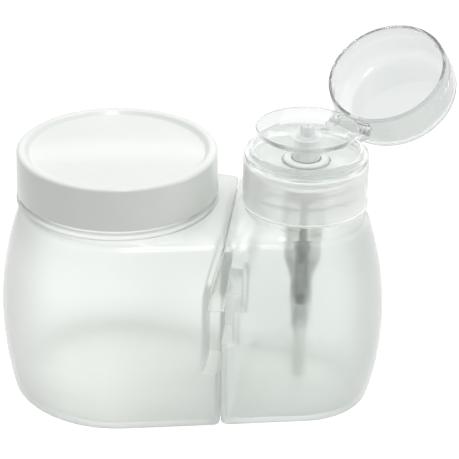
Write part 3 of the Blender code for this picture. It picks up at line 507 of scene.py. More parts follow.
def half_plan(side, height, inset):
    """Front half of a container's plan, from the middle of its mating face to its round end."""
    sign = 1.0 if side == "jar" else -1.0
    grow = inset if inset > 0.5 * WALL else 0.0
    notch = jar_notch(height, grow) if side == "jar" else bottle_notch(height, grow)
    face = MATE_X - sign * (0.5 * SEAT_GAP + inset)
    corner = max(EDGE_R - inset, 0.45 * EDGE_R)
    inner = CLIP_INNER_Y - grow
    tilt = front_tilt(height)
    centre_x = face - sign * (notch + corner)
    centre_y = front_depth(centre_x, height, inset + corner)
    depths = span(0.0, inner - 0.5 * DRAFT_W, FACE_STEPS)
    depths += span(inner - 0.5 * DRAFT_W, inner + 0.5 * DRAFT_W, STEP_STEPS)[1:]
    depths += span(inner + 0.5 * DRAFT_W, centre_y, 3)[1:-1]
    points = [(face - sign * notch * step_share(y, inner), -y) for y in depths]
    upright = 0.5 * math.pi - tilt
    if side == "jar":
        points += arc((centre_x, -centre_y), corner, 0.0, -upright, CORNER_STEPS)
        end = arc((0.0, 0.0), jar_radius(height) - inset, -upright, -math.pi, END_STEPS)
    else:
        points += arc((centre_x, -centre_y), corner, math.pi, math.tau - upright, CORNER_STEPS)
        end = arc((AXIS_SPACING, 0.0), bottle_radius(height) - inset, -upright, 0.0, END_STEPS)
    start = points[-1]
    stop = end[0]
    points += [(start[0] + (stop[0] - start[0]) * t, start[1] + (stop[1] - start[1]) * t)
               for t in span(0.0, 1.0, FLAT_STEPS)[1:-1]]
    return points + end


def whole_plan(side, height, inset):
    """Full plan of a container at a height, as one loop."""
    front = half_plan(side, height, inset)
    rear = [(x, -y) for x, y in front[-2:0:-1]]
    return front + rear


def at_height(points, height):
    return [(x, y, height) for x, y in points]


def round_ring(plan, centre_x, radius, height):
    """Ring of points on a circle, each in the direction of its point in the plan."""
    ring = []
    for x, y in plan:
        way = Vector((x - centre_x, y)).normalized() * radius
        ring.append((centre_x + way.x, way.y, height))
    return ring


def mixed_ring(first, second, share):
    return [tuple(Vector(a).lerp(Vector(b), share)) for a, b in zip(first, second)]


def level_heights(side, low, high, grow):
    """Heights of the rings up a container's side, closer together where a pocket starts or ends."""
    steps = {"jar": (POCKET_FLOOR - grow,),
             "bottle": (SOCKET_FLOOR - grow, FINGER_FOOT - grow, SOCKET_TOP + grow)}[side]
    levels = span(low, high, SIDE_STEPS)
    levels = [z for z in levels if all(abs(z - step) > 0.6 * DRAFT_W for step in steps)]
    for step in steps:
        levels += span(step - 0.5 * DRAFT_W, step + 0.5 * DRAFT_W, STEP_STEPS)
    return sorted(levels)


def side_rings(side, inset, low, crease):
    """Rings of a container from its rounded foot to its rounded crease."""
    rings = []
    for angle in span(0.0, 0.5 * math.pi, ROUND_STEPS):
        rings.append((low + BASE_ROUND * (1.0 - math.cos(angle)),
                      inset + BASE_ROUND * (1.0 - math.sin(angle))))
    for height in level_heights(side, low + BASE_ROUND, crease - CREASE_ROUND, inset)[1:]:
        rings.append((height, inset))
    for angle in span(0.0, 0.5 * math.pi, ROUND_STEPS)[1:-1]:
        rings.append((crease - CREASE_ROUND * (1.0 - math.sin(angle)),
                      inset + CREASE_ROUND * (1.0 - math.cos(angle))))
    return [at_height(whole_plan(side, height, step), height) for height, step in rings]


def scaled_ring(ring, centre_x, share, height):
    """A ring drawn in towards the container's axis."""
    return [(centre_x + (x - centre_x) * share, y * share, height) for x, y, z in ring]


def container(side, centre_x, bore_r, mouth_z, neck_corners):
    """One blown container as a single closed wall: base, belly, shoulder, neck and bore."""
    outer = side_rings(side, 0.0, 0.0, BODY_HEIGHT)
    inner = side_rings(side, WALL, FLOOR, BODY_HEIGHT - WALL)
    stand = 1.0 - STANDING_W / JAR_BASE_R
    slope = 1.0 - 1.6 * STANDING_W / JAR_BASE_R
    base_rings = [[(centre_x, 0.0, PUSH_UP)]]
    base_rings += [scaled_ring(outer[0], centre_x, share, height) for share, height in (
        (0.35, PUSH_UP), (0.7, PUSH_UP), (slope, PUSH_UP),
        (0.3 * slope + 0.7 * stand, 0.25 * PUSH_UP), (stand, 0.0))]
    floor_rings = [scaled_ring(inner[0], centre_x, share, FLOOR + rise * PUSH_UP)
                   for share, rise in ((slope, 0.0), (0.7, 0.5), (0.35, 0.6))]
    floor_rings.append([(centre_x, 0.0, FLOOR + 0.6 * PUSH_UP)])
    plan = whole_plan(side, BODY_HEIGHT, 0.0)
    neck = [round_ring(plan, centre_x, r, z) for r, z in filleted(neck_corners, closed=False)]
    shoulder = [mixed_ring(outer[-1], neck[0], t) for t in SHOULDER_SHARES]
    bore = [round_ring(plan, centre_x, bore_r, z) for z in (mouth_z - BORE_DROP, SHOULDER_Z - WALL)]
    inner_shoulder = [mixed_ring(bore[-1], inner[-1], t) for t in INNER_SHARES]
    return shell(base_rings + outer + shoulder + neck + bore + inner_shoulder + inner[::-1]
                 + floor_rings)


def finger_section(height, inset, mirror):
    """Plan of a clip finger at a height, drawn in by inset."""
    rise = min(1.0, max(0.0, (height - POCKET_KNEE) / (POCKET_TOP - SEAT_GAP - POCKET_KNEE)))
    lean = MATE_X - POCKET_DEPTH + RUN_GAP
    left = lean + (MATE_X + 0.5 * SEAT_GAP - lean) * rise + inset
    narrow = MATE_X + 0.5 * FINGER_THICK
    if height < POCKET_KNEE:
        right = lean + 2.0 * FINGER_THICK
        right += (narrow - right) * (height - FINGER_FOOT) / (POCKET_KNEE - FINGER_FOOT)
    else:
        right = narrow + 0.5 * FINGER_THICK * (height - POCKET_KNEE) / (SOCKET_TOP - POCKET_KNEE)
    right -= inset
    flush = inset + FINGER_SUNK
    inner = CLIP_INNER_Y + SEAT_GAP + inset
    corners = ((left, -front_depth(left, height, flush)), (right, -front_depth(right, height, flush)),
               (right, -inner), (left, -inner))
    points = filleted([(x, y, FINGER_RIM) for x, y in corners], steps=4)
    if mirror:
        points = [(x, -y) for x, y in points[::-1]]
    return at_height(points, height)


def finger_shape(mirror):
    """Clip finger that hangs from the bottle's shoulder and leans into the jar's pocket."""
    rings = []
    for angle in span(0.0, 0.5 * math.pi, 5):
        rings.append(finger_section(FINGER_FOOT + FINGER_ROUND * (1.0 - math.cos(angle)),
                                    FINGER_ROUND * (1.0 - math.sin(angle)), mirror))
    for height in span(FINGER_FOOT + FINGER_ROUND, FINGER_TOP, 20)[1:]:
        rings.append(finger_section(height, 0.0, mirror))
    return shell(rings, ends=True)


def thread(radius, centre_x, pitch, turns, low, width, proud, start):
    """Raised helical thread whose ends fade into the wall. Proud is negative inside a bore."""
    rings = []
    total = int(THREAD_SEGMENTS * turns)
    sign = math.copysign(1.0, proud)
    half = 0.5 * width
    for k in range(total + 1):
        share = k / total
        angle = start + math.tau * k / THREAD_SEGMENTS
        middle = low + pitch * k / THREAD_SEGMENTS
        height = proud * eased(min(share, 1.0 - share) * turns * THREAD_FADE) + THREAD_LIFT * sign
        side = [(-THREAD_SUNK * sign, half)] + [(height * out, half * up) for out, up in THREAD_FORM]
        section = [(out, -up) for out, up in side] + side[::-1]
        rings.append([(centre_x + (radius + out) * math.cos(angle),
                       (radius + out) * math.sin(angle), middle + up) for out, up in section])
    return shell(rings, ends=True)


# Materials

def base_material(name):
    """Principled material with its texture coordinates."""
    material = bpy.data.materials.new(name)
    material.use_nodes = True
    material.node_tree.nodes.new("ShaderNodeTexCoord")
    return material


def parts_of(material):
    """Node tree of a material, its main shader and the socket of the object's own coordinates."""
    tree = material.node_tree
    place = tree.nodes["Texture Coordinate"].outputs["Object"]
    return tree, tree.nodes["Principled BSDF"], place


def add_node(tree, kind, inputs):
    """Adds a shader node. Each input gets a constant, or a link where the value is a socket."""
    step = tree.nodes.new("ShaderNode" + kind)
    for key, value in inputs.items():
        if isinstance(value, bpy.types.NodeSocket):
            tree.links.new(value, step.inputs[key])
        else:
            step.inputs[key].default_value = value
    return step


def noise(tree, place, scale, detail=3.0, stretch=(1.0, 1.0, 1.0)):
    """Noise in the object's own coordinates. Scale is in waves per metre."""
    mapping = add_node(tree, "Mapping", {"Vector": place, "Scale": stretch})
    return add_node(tree, "TexNoise", {
        "Vector": mapping.outputs["Vector"], "Scale": scale, "Detail": detail,
        "Roughness": NOISE_ROUGHNESS}).outputs["Fac"]


def ranged(tree, source, start, stop, low, high, curve="LINEAR"):
    """Maps the values from start to stop onto those from low to high."""
    step = add_node(tree, "MapRange", {"Value": source, "From Min": start, "From Max": stop,
                                       "To Min": low, "To Max": high})
    step.interpolation_type = curve
    return step.outputs["Result"]


def worked(tree, operation, first, second):
    """Result of a sum on two values."""
    step = add_node(tree, "Math", {0: first, 1: second})
    step.operation = operation
    return step.outputs["Value"]


def two_tone(tree, source, first, second):
    """Colour that wanders between two close tones."""
    step = add_node(tree, "ValToRGB", {"Fac": source})
    for element, mark, tone in zip(step.color_ramp.elements, NOISE_SPAN, (first, second)):
        element.position = mark
        element.color = (*tone, 1.0)
    return step.outputs["Color"]


def bumped(tree, source, distance, normal):
    """Bumps the normal that goes into a socket, and returns the socket for a further bump under it."""
    step = add_node(tree, "Bump", {"Height": source, "Distance": distance})
    tree.links.new(step.outputs["Normal"], normal)
    return step.inputs["Normal"]


def plastic(name, tones, rough, wave, grain, fixed):
    """Moulded plastic: two close tones, slow waves from the mould and a fine grain.

    Rough is (low, high); wave and grain are (waves per metre, bump height). Fixed holds the
    shader's own constant values.
    """
    material = base_material(name)
    tree, shader, place = parts_of(material)
    for socket, value in fixed.items():
        shader.inputs[socket].default_value = value
    slow = noise(tree, place, wave[0], detail=2.0)
    fast = noise(tree, place, grain[0], detail=4.0)
    tree.links.new(two_tone(tree, slow, *tones), shader.inputs["Base Color"])
    tree.links.new(ranged(tree, fast, *NOISE_SPAN, *rough), shader.inputs["Roughness"])
    under = bumped(tree, fast, grain[1], shader.inputs["Normal"])
    bumped(tree, slow, wave[1], under)
    return material


def see_through(material, lamp_share):
    """Lets a share of the lamp light through each face of a material."""
    tree, shader, place = parts_of(material)
    clear = add_node(tree, "BsdfTransparent", {"Color": (lamp_share, lamp_share, lamp_share, 1.0)})
    path = add_node(tree, "LightPath", {})
    mix = add_node(tree, "MixShader", {"Fac": path.outputs["Is Shadow Ray"], 1: shader.outputs["BSDF"],
                                       2: clear.outputs["BSDF"]})
    tree.links.new(mix.outputs["Shader"], tree.nodes["Material Output"].inputs["Surface"])
    return material


def hazed(material, facing_share, grazing_share):
    """Makes a see-through wall cloudier where it is looked along and so is thicker."""
    tree, shader, place = parts_of(material)
    weight = add_node(tree, "LayerWeight", {"Blend": 0.5})
    share = ranged(tree, weight.outputs["Facing"], *HAZE_SPAN, facing_share, grazing_share,
                   "SMOOTHSTEP")
    tree.links.new(share, shader.inputs["Transmission Weight"])
    return material


def misty(name, tones, finish, lamp_share, facing_share, grazing_share):
    """Plastic that is seen through. Finish is (rough, wave, grain, fixed)."""
    return hazed(see_through(plastic(name, tones, *finish), lamp_share), facing_share, grazing_share)


def one_axis(tree, place, axis):
    """One coordinate of a point."""
    return add_node(tree, "SeparateXYZ", {"Vector": place}).outputs[axis]


def axis_distance(tree, place, x, y):
    """Distance of a point from an upright axis."""
    flat = add_node(tree, "Mapping", {"Vector": place, "Location": (-x, -y, 0.0),
                                      "Scale": (1.0, 1.0, 0.0)})
    reach = add_node(tree, "VectorMath", {0: flat.outputs["Vector"]})
    reach.operation = "LENGTH"
    return reach.outputs["Value"]


def in_shut_cap(material):
    """Sockets that hold a point's distance from the cap's axis and its height over the hinge, both as
    they are with the cap shut.
    """
    tree, shader, place = parts_of(material)
    shut = add_node(tree, "Mapping", {"Vector": place, "Location": HINGE_PLACE,
                                      "Rotation": (-CAP_OPEN, 0.0, -HINGE_TURN)})
    shut.vector_type = "TEXTURE"
    place = shut.outputs["Vector"]
    return axis_distance(tree, place, 0.0, -HINGE_REACH), one_axis(tree, place, "Z")


def marks_from(start, *marks):
    """Marks whose places are given in millimetres from a start."""
    return [(start + place * MM, share) for place, share in marks]


def toned(material, measure, tone, marks, centre_x=0.0):
    """Blends a tone into the base colour along a measure. On the parts it paints shade and light; on
    the floor it fades the lit colour out.

    Measure is "X", "Z", "radius" or a socket. Marks are (place, share of the tone), in rising order.
    """
    tree, shader, place = parts_of(material)
    low, high = marks[0][0], marks[-1][0]
    if measure == "radius":
        measure = axis_distance(tree, place, centre_x, 0.0)
    elif isinstance(measure, str):
        measure = one_axis(tree, place, measure)
    ramp = add_node(tree, "ValToRGB", {"Fac": ranged(tree, measure, low, high, 0.0, 1.0)})
    while len(ramp.color_ramp.elements) < len(marks):
        ramp.color_ramp.elements.new(0.5)
    for element, (mark, share) in zip(ramp.color_ramp.elements, marks):
        element.position = (mark - low) / (high - low)
        element.color = (share, share, share, 1.0)
    colour = shader.inputs["Base Color"]
    blend = tree.nodes.new("ShaderNodeMix")
    blend.data_type = "RGBA"
    blend.inputs[MIX_SECOND].default_value = (*tone, 1.0)
    tree.links.new(colour.links[0].from_socket, blend.inputs[MIX_FIRST])
    tree.links.new(ramp.outputs["Color"], blend.inputs["Factor"])
    tree.links.new(blend.outputs[MIX_RESULT], colour)
    return material


def cloudy_centre(material, centre_x, inner_r, outer_r, kept_share):
    """Lets less through near an upright axis, where the moulding is thick."""
    tree, shader, place = parts_of(material)
    reach = axis_distance(tree, place, centre_x, 0.0)
    kept = ranged(tree, reach, inner_r, outer_r, kept_share, 1.0)
    socket = shader.inputs["Transmission Weight"]
    tree.links.new(worked(tree, "MULTIPLY", socket.links[0].from_socket, kept), socket)
    return material


# Painted shade: darkens the containers towards base and shoulder (partly thicker moulding), the jar at
# its mating side, the collar's sunk deck and the cap's rim
THICK_WALL_AND_SHADE_TONE = (0.30, 0.32, 0.31)
# Painted light: lightens the bottle at its mating side and over its shoulder and neck
PAINTED_LIGHT_TONE = (0.94, 0.955, 0.94)
# Painted light on the flip cap's side wall
CAP_PAINTED_LIGHT_TONE = (0.89, 0.90, 0.89)
# Painted shade for the pump barrel's dark chamber
BARREL_PAINTED_SHADE = (0.16, 0.18, 0.17)
CLEAR_TONES = ((0.80, 0.82, 0.81), (0.83, 0.847, 0.837))


def coated(ior, weight, roughness, coat_ior=1.5):
    """Constant values of a plastic with a coat."""
    return {"IOR": ior, "Coat Weight": weight, "Coat Roughness": roughness, "Coat IOR": coat_ior}


# Finishes: roughness, mould waves, grain and the shader's constant values
WALL_FINISH = ((0.29, 0.33), (45.0, 0.06 * MM), (1500.0, 0.0003 * MM),
               coated(1.10, 0.6, 0.08))
OPAQUE_FINISH = ((0.30, 0.36), (40.0, 0.10 * MM), (1500.0, 0.0008 * MM),
                 {**coated(1.5, 0.5, 0.10), "Subsurface Weight": 0.1, "Subsurface Scale": 0.6,
                  "Subsurface Radius": (0.002, 0.002, 0.0018)})
MILKY_FINISH = ((0.18, 0.24), (70.0, 0.04 * MM), (1200.0, 0.0003 * MM),
                coated(1.12, 0.6, 0.10, 1.45))
CLOUDY_FINISH = ((0.30, 0.36), (90.0, 0.03 * MM), (1200.0, 0.0003 * MM),
                 coated(1.15, 0.3, 0.15, 1.45))
CLEAR_FINISH = ((0.04, 0.08), (50.0, 0.03 * MM), (1200.0, 0.0001 * MM),
                coated(1.16, 0.35, 0.05, 1.45))
NATURAL_FINISH = ((0.29, 0.35), (120.0, 0.02 * MM), (1500.0, 0.0004 * MM),
                  coated(1.12, 0.2, 0.15))


def frosted(name, tones, height_thick_and_shade_marks, side_painted_tone, side_painted_marks):
    """Wall of a blown container: darker towards the base and shoulder, painted shade with thicker
    moulding there too, and a painted tone towards the mating side, shade on the jar and light on the
    bottle.
    """
    wall = misty(name, tones, WALL_FINISH, 0.96, 0.97, 0.30)
    toned(wall, "Z", THICK_WALL_AND_SHADE_TONE, height_thick_and_shade_marks)
    return toned(wall, "X", side_painted_tone, side_painted_marks)


# Painted shade by height, with thicker moulding there too, and painted shade towards the mating side
# where the bottle shades the jar
FROSTED = frosted(
    "frosted_wall", ((0.965, 0.982, 0.962), (0.977, 0.99, 0.975)),
    marks_from(0.0, (0.0, 0.34), (3.0, 0.20), (8.0, 0.09), (16.0, 0.03), (30.0, 0.0), (54.0, 0.0),
               (60.0, 0.06), (66.0, 0.12), (72.0, 0.12)),
    THICK_WALL_AND_SHADE_TONE, marks_from(0.0, (-14.0, 0.0), (2.0, 0.02), (14.0, 0.08)) + [(MATE_X, 0.13)])
# Painted shade towards the base, with thicker moulding there too; painted light towards the mating side
FROSTED_BOTTLE = frosted(
    "frosted_bottle_wall", ((0.825, 0.85, 0.83), (0.85, 0.871, 0.853)),
    marks_from(0.0, (0.0, 0.24), (3.5, 0.20), (6.0, 0.08), (14.0, 0.05), (22.0, 0.02), (30.0, 0.0),
               (76.0, 0.0)),
    PAINTED_LIGHT_TONE, marks_from(MATE_X, (-6.0, 0.3), (2.0, 0.4), (3.6, 0.2), (7.0, 0.0)))
# Painted light: the bottle's shoulder and neck are made lighter, standing in for light inside the
# collar
toned(FROSTED_BOTTLE, "Z", PAINTED_LIGHT_TONE, marks_from(0.0, (68.0, 0.0), (71.0, 0.85), (90.0, 0.85)))
OPAQUE = plastic("opaque_white", ((0.822, 0.852, 0.817), (0.85, 0.878, 0.845)), *OPAQUE_FINISH)
MILKY = misty("milky_collar", ((0.97, 0.982, 0.968), (0.982, 0.992, 0.98)), MILKY_FINISH,
              0.98, 0.66, 0.40)
# Painted shade on the collar's sunk deck, under the ring and dish
toned(MILKY, "radius", THICK_WALL_AND_SHADE_TONE,
      ((0.0, 0.44), (RING_BORE_R + 0.5 * MM, 0.42), (COLLAR_BORE_R, 0.0)), AXIS_SPACING)
CLOUDY = misty("cloudy_parts", ((0.84, 0.86, 0.85), (0.88, 0.89, 0.88)), CLOUDY_FINISH,
               0.88, 0.45, 0.20)
CUP_WHITE = misty("cup_parts", ((0.70, 0.72, 0.705), (0.74, 0.76, 0.745)), CLOUDY_FINISH,
                  0.88, 0.40, 0.25)
CLEAR = misty("clear_parts", CLEAR_TONES, CLEAR_FINISH, 0.95, 0.94, 0.78)
CLEAR_CAP = misty("clear_cap_parts", ((0.67, 0.695, 0.685), (0.70, 0.72, 0.71)), CLEAR_FINISH,
                  0.95, 0.94, 0.85)
cap_reach, cap_height = in_shut_cap(CLEAR_CAP)
# Painted light: the cap's side wall is made lighter than its top
toned(CLEAR_CAP, cap_reach, CAP_PAINTED_LIGHT_TONE,
      [(0.0, 0.0)] + marks_from(CAP_RIM_R, (-4.5, 0.0), (-1.5, 0.65), (0.0, 0.7)))
# Painted shade: a dark line along the cap's rim, standing in for the rim's edge-on shading
toned(CLEAR_CAP, cap_height, THICK_WALL_AND_SHADE_TONE,
      marks_from(CAP_RIM_Z - HINGE_Z, (0.0, 0.4), (0.7, 0.4), (1.1, 0.0)))
CLEAR_DISH = cloudy_centre(misty("clear_dish_parts", CLEAR_TONES, CLEAR_FINISH, 0.95, 0.93, 0.82),
                           AXIS_SPACING, *DISH_CLOUD, 0.45)
NATURAL = misty("natural_parts", ((0.92, 0.935, 0.92), (0.94, 0.95, 0.94)), NATURAL_FINISH,
                0.92, 0.94, 0.75)
BARREL = misty("pump_barrel_wall", ((0.88, 0.90, 0.88), (0.92, 0.93, 0.91)), NATURAL_FINISH,
               0.92, 0.95, 0.75)
# Painted shade: dark bands on the barrel where the chamber's shaded inside, with spring and rod, shows
# through
toned(BARREL, "Z", BARREL_PAINTED_SHADE,
      marks_from(0.0, (30.0, 0.05), (35.2, 0.05), (35.6, 0.48), (38.7, 0.48), (39.2, 0.25),
                 (54.0, 0.25), (55.0, 0.0), (66.0, 0.0)))
GREY = plastic("grey_rod", ((0.24, 0.25, 0.25), (0.30, 0.31, 0.31)), (0.35, 0.5),
               (200.0, 0.03 * MM), (2000.0, 0.002 * MM), {"IOR": 1.5})
FOAM = plastic("foam_wad", ((0.80, 0.80, 0.77), (0.90, 0.90, 0.88)), (0.8, 0.95),
               (400.0, 0.10 * MM), (2600.0, 0.12 * MM), {"IOR": 1.4, "Sheen Weight": 0.2})
RUBBER = plastic("seal_ring", ((0.55, 0.55, 0.52), (0.64, 0.64, 0.6)), (0.5, 0.65),
                 (300.0, 0.03 * MM), (2600.0, 0.01 * MM), {"IOR": 1.45})


def drawn_steel():
    """Steel with fine drawing marks."""
    material = base_material("drawn_steel")
    tree, shader, place = parts_of(material)
    shader.inputs["Metallic"].default_value = 1.0
    marks = noise(tree, place, 900.0, detail=4.0, stretch=(1.0, 1.0, 6.0))
    tree.links.new(two_tone(tree, marks, (0.34, 0.35, 0.36), (0.46, 0.47, 0.48)),
                   shader.inputs["Base Color"])
    tree.links.new(ranged(tree, marks, *NOISE_SPAN, 0.18, 0.34), shader.inputs["Roughness"])
    bumped(tree, marks, 0.01 * MM, shader.inputs["Normal"])
    return material


STEEL = drawn_steel()

# Jar side

bead_top = SHOULDER_Z + JAR_BEAD_H
jar_shape = container("jar", 0.0, JAR_BORE_R, JAR_MOUTH_Z, [
    (JAR_FOOT_R, SHOULDER_Z - 0.5 * SEAT_GAP, 0.0), (JAR_FOOT_R + 0.2 * MM, SHOULDER_Z, SOFT),
    (JAR_BEAD_R, SHOULDER_Z, JAR_BEAD_ROUND), (JAR_BEAD_R, bead_top, JAR_BEAD_ROUND),
    (JAR_NECK_R, bead_top, MILD), (JAR_NECK_R, JAR_MOUTH_Z, FULL), (JAR_BORE_R, JAR_MOUTH_Z, 0.0)])
jar = make_piece("jar_wall", jar_shape, FROSTED, "jar", ["jar_body"])
combine(jar, thread(JAR_NECK_R, 0.0, *JAR_THREAD))

recess_r = LID_TOP_R - LID_LAND
plate_r = recess_r - LID_RECESS_SLOPE
plate_top = LID_PLATE_Z + LID_PLATE
dome = [(plate_r * t, plate_top + LID_DOME * (1.0 - t * t), 0.0) for t in span(0.0, 0.96, 10)]
lid = spun("lid_shell", "jar_lid", OPAQUE, "lid", LARGE_SEGMENTS, dome + [
    (plate_r, plate_top - LID_PLATE_DROP, BROAD), (recess_r, LID_TOP_Z - LID_RIM_DROP, BROAD),
    (recess_r + LID_RIM_RUN, LID_TOP_Z, WIDE), (LID_TOP_R, LID_TOP_Z, LID_EDGE_R),
    (LID_R, LID_LOW_Z, 0.6 * MM), (LID_BORE_R, LID_LOW_Z, SOFT), (LID_BORE_R, LID_PLATE_Z, SOFT),
    (0.0, LID_PLATE_Z, 0.0)], 0.0)
combine(lid, thread(LID_BORE_R, 0.0, *LID_THREAD))

spun("lid_wad", "jar_lid_liner", FOAM, "liner", LARGE_SEGMENTS, [
    (0.0, LINER_Z + LINER_H, 0.0), (JAR_NECK_R, LINER_Z + LINER_H, FINE), (JAR_NECK_R, LINER_Z, FINE),
    (JAR_NECK_R - 0.2 * MM, LINER_Z, 0.0), (JAR_BORE_R + 0.1 * MM, LINER_Z, TINY),
    (JAR_BORE_R - 0.4 * MM, LINER_Z - LINER_BULGE, SOFT), (0.0, LINER_Z - LINER_BULGE, 0.0)], 0.0)

# Bottle side

step = SHOULDER_Z + NECK_FOOT_H
bottle_shape = container("bottle", AXIS_SPACING, NECK_BORE_R, NECK_TOP_Z, [
    (NECK_FOOT_R, SHOULDER_Z, 0.0), (NECK_FOOT_R, step, FULL), (NECK_R, step, MILD),
    (NECK_R, NECK_TOP_Z, MILD), (NECK_BORE_R, NECK_TOP_Z, 0.0)])
bottle = make_piece("bottle_wall", bottle_shape, FROSTED_BOTTLE, "bottle",
                    ["bottle_body"])
for mirror in (False, True):
    combine(bottle, finger_shape(mirror))
combine(bottle, thread(NECK_R, AXIS_SPACING, *NECK_THREAD))

spun("neck_washer", "neck_gasket", FOAM, "pump", MIDDLE_SEGMENTS, [
    (NECK_R, GASKET_Z, FINE), (NECK_R, GASKET_Z + GASKET_H, FINE),
    (NECK_BORE_R, GASKET_Z + GASKET_H, FINE), (NECK_BORE_R, GASKET_Z, FINE)])

deck_hole = CUP_R + RUN_GAP
bead_r = COLLAR_R + COLLAR_BEAD
collar = spun("collar_shell", "screw_collar", MILKY, "collar", LARGE_SEGMENTS, [
    (COLLAR_R, COLLAR_TOP_Z, WIDE), (COLLAR_R, COLLAR_LOW_Z + COLLAR_BEAD_H, SLIM),
    (bead_r, COLLAR_LOW_Z + 0.6 * COLLAR_BEAD_H, FINE), (bead_r, COLLAR_LOW_Z, SLIM),
    (COLLAR_BORE_R, COLLAR_LOW_Z, SOFT), (COLLAR_BORE_R, DECK_Z, FULL), (deck_hole, DECK_Z, FINE),
    (deck_hole, DECK_TOP_Z, SOFT), (RING_BORE_R, DECK_TOP_Z, SOFT), (RING_BORE_R, COLLAR_TOP_Z, SOFT)])
combine(collar, thread(COLLAR_BORE_R, AXIS_SPACING, *COLLAR_THREAD))


def bar_shape(outline_yz, start, stop, rounding):
    """Bar along X with a rounded outline in Y and Z and softened ends."""
    middle = Vector((sum(p[0] for p in outline_yz), sum(p[1] for p in outline_yz))) / len(outline_yz)
    rings = []
    near = 0.3 * rounding
    for x, draw in ((start, rounding), (start + near, near), (start + rounding, 0.0),
                    (stop - rounding, 0.0), (stop - near, near), (stop, rounding)):
        ring = []
        for y, z in outline_yz:
            way = Vector((y, z)) - middle
            spot = middle + way * (1.0 - draw / way.length)
            ring.append((x, spot.x, spot.y))
        rings.append(ring)
    return shell(rings, ends=True)


def round_bar(radius, start, stop, rounding, y, z):
    return bar_shape(arc((y, z), radius, 0.0, math.tau, 32)[:-1], start, stop, rounding)


ring_profile = filleted([
    (RING_BORE_R, RING_TOP_Z, SOFT), (RING_LAND_R, RING_TOP_Z, FULL), (RING_LAND_R, RING_STEP_Z, SOFT),
    (RING_R, RING_STEP_Z, FULL), (RING_R, RING_Z, SOFT), (RING_BORE_R, RING_Z, SOFT)])
top_ring = make_piece("clear_ring", turned(ring_profile, LARGE_SEGMENTS), CLEAR)
knee = HINGE_REACH - EAR_R
ear = filleted([
    (RING_LAND_R, RING_Z + EAR_INSET, 0.0), (RING_LAND_R, RING_STEP_Z - EAR_INSET, 0.0),
    (knee, RING_STEP_Z - EAR_INSET, MILD),
    (HINGE_REACH - 0.6 * EAR_R, HINGE_Z + 0.8 * EAR_R, WIDE)], closed=False, steps=3)
ear = ear[:-1] + arc((HINGE_REACH, HINGE_Z), EAR_R, 0.72 * math.pi, -0.5 * math.pi, 18)
reach = LUG_HALF_W + SEAT_GAP
for start in (-reach - EAR_W, reach):
    combine(top_ring, bar_shape(ear, start, start + EAR_W, BAR_ROUND))
hole_reach = reach + EAR_W + 2.0 * MM
combine(top_ring, round_bar(TRUNNION_R + SEAT_GAP, -hole_reach, hole_reach, TINY, HINGE_REACH, HINGE_Z),
        "DIFFERENCE")
top_ring.data.transform(Matrix.Translation((AXIS_SPACING, 0.0, 0.0))
                        @ Matrix.Rotation(-HINGE_TURN, 4, "Z"))
top_ring.data.update()
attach(top_ring, "pump")
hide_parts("top_ring")

cap_rim = CAP_RIM_Z - HINGE_Z
cap_top = cap_rim + CAP_H
cap_belly = cap_rim + CAP_BELLY_Z
bend = (CAP_BELLY_R - CAP_SHOULDER_R, cap_top - CAP_SHOULDER_R)
crown = [(bend[0] * t, CAP_CROWN * (1.0 - t * t)) for t in span(0.0, 0.9, 6)]
outer = [(r, cap_top + rise) for r, rise in crown]
outer += arc(bend, CAP_SHOULDER_R, 0.5 * math.pi, 0.0, 16)
outer += [(CAP_BELLY_R - (CAP_BELLY_R - CAP_RIM_R) * t * t, cap_belly + (cap_rim - cap_belly) * t)
          for t in span(0.0, 0.97, 10)[1:]]
inner = arc(bend, CAP_SHOULDER_R - CAP_WALL, 0.5 * math.pi, 0.0, 16)
for t in span(0.0, 0.97, 13)[1:]:
    thinned = CAP_STEP * eased((t - CAP_STEP_SHARE) / 0.08 + 0.5)
    inner.append((CAP_BELLY_R - CAP_WALL + thinned - (CAP_BELLY_R - CAP_RIM_R) * t * t,
                  cap_belly + (cap_rim - cap_belly) * t))
inner = [(r, cap_top - CAP_WALL + rise) for r, rise in crown] + inner
lip = filleted([
    (*outer[-1], 0.0), (CAP_RIM_R, cap_rim, 0.45 * MM),
    (CAP_RIM_R - CAP_WALL + CAP_STEP, cap_rim, MILD), (*inner[-1], 0.0)], closed=False)
cap_profile = outer + lip[1:-1] + inner[::-1]
cap = make_piece("clear_cap", turned(cap_profile, LARGE_SEGMENTS), CLEAR_CAP)
cap.data.transform(Matrix.Translation((0.0, -HINGE_REACH, 0.0)))
root = CAP_RIM_R - 0.5 * CAP_WALL - HINGE_REACH
arm = filleted([
    (root, cap_rim + 0.5 * LUG_R, 0.0), (root, cap_rim + 2.5 * LUG_R, MILD), (-LUG_R, LUG_R, 0.6 * MM),
    (0.0, LUG_R, 0.0), (0.0, -0.5 * LUG_R, 0.0), (-0.5 * LUG_R, 0.0, MILD)], steps=3)
trunnion_reach = LUG_HALF_W + SEAT_GAP + EAR_W
for shape in (bar_shape(arm, -LUG_HALF_W, LUG_HALF_W, BAR_ROUND),
              round_bar(LUG_R, -LUG_HALF_W, LUG_HALF_W, SLIM, 0.0, 0.0),
              round_bar(TRUNNION_R, -trunnion_reach, trunnion_reach, SOFT, 0.0, 0.0)):
    combine(cap, shape)
cap.data.transform(Matrix.Translation(HINGE_PLACE)
                   @ Matrix.Rotation(-HINGE_TURN, 4, "Z") @ Matrix.Rotation(-CAP_OPEN, 4, "X"))
cap.data.update()
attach(cap, "cap")
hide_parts("flip_cap")

# Press dish and what moves with it

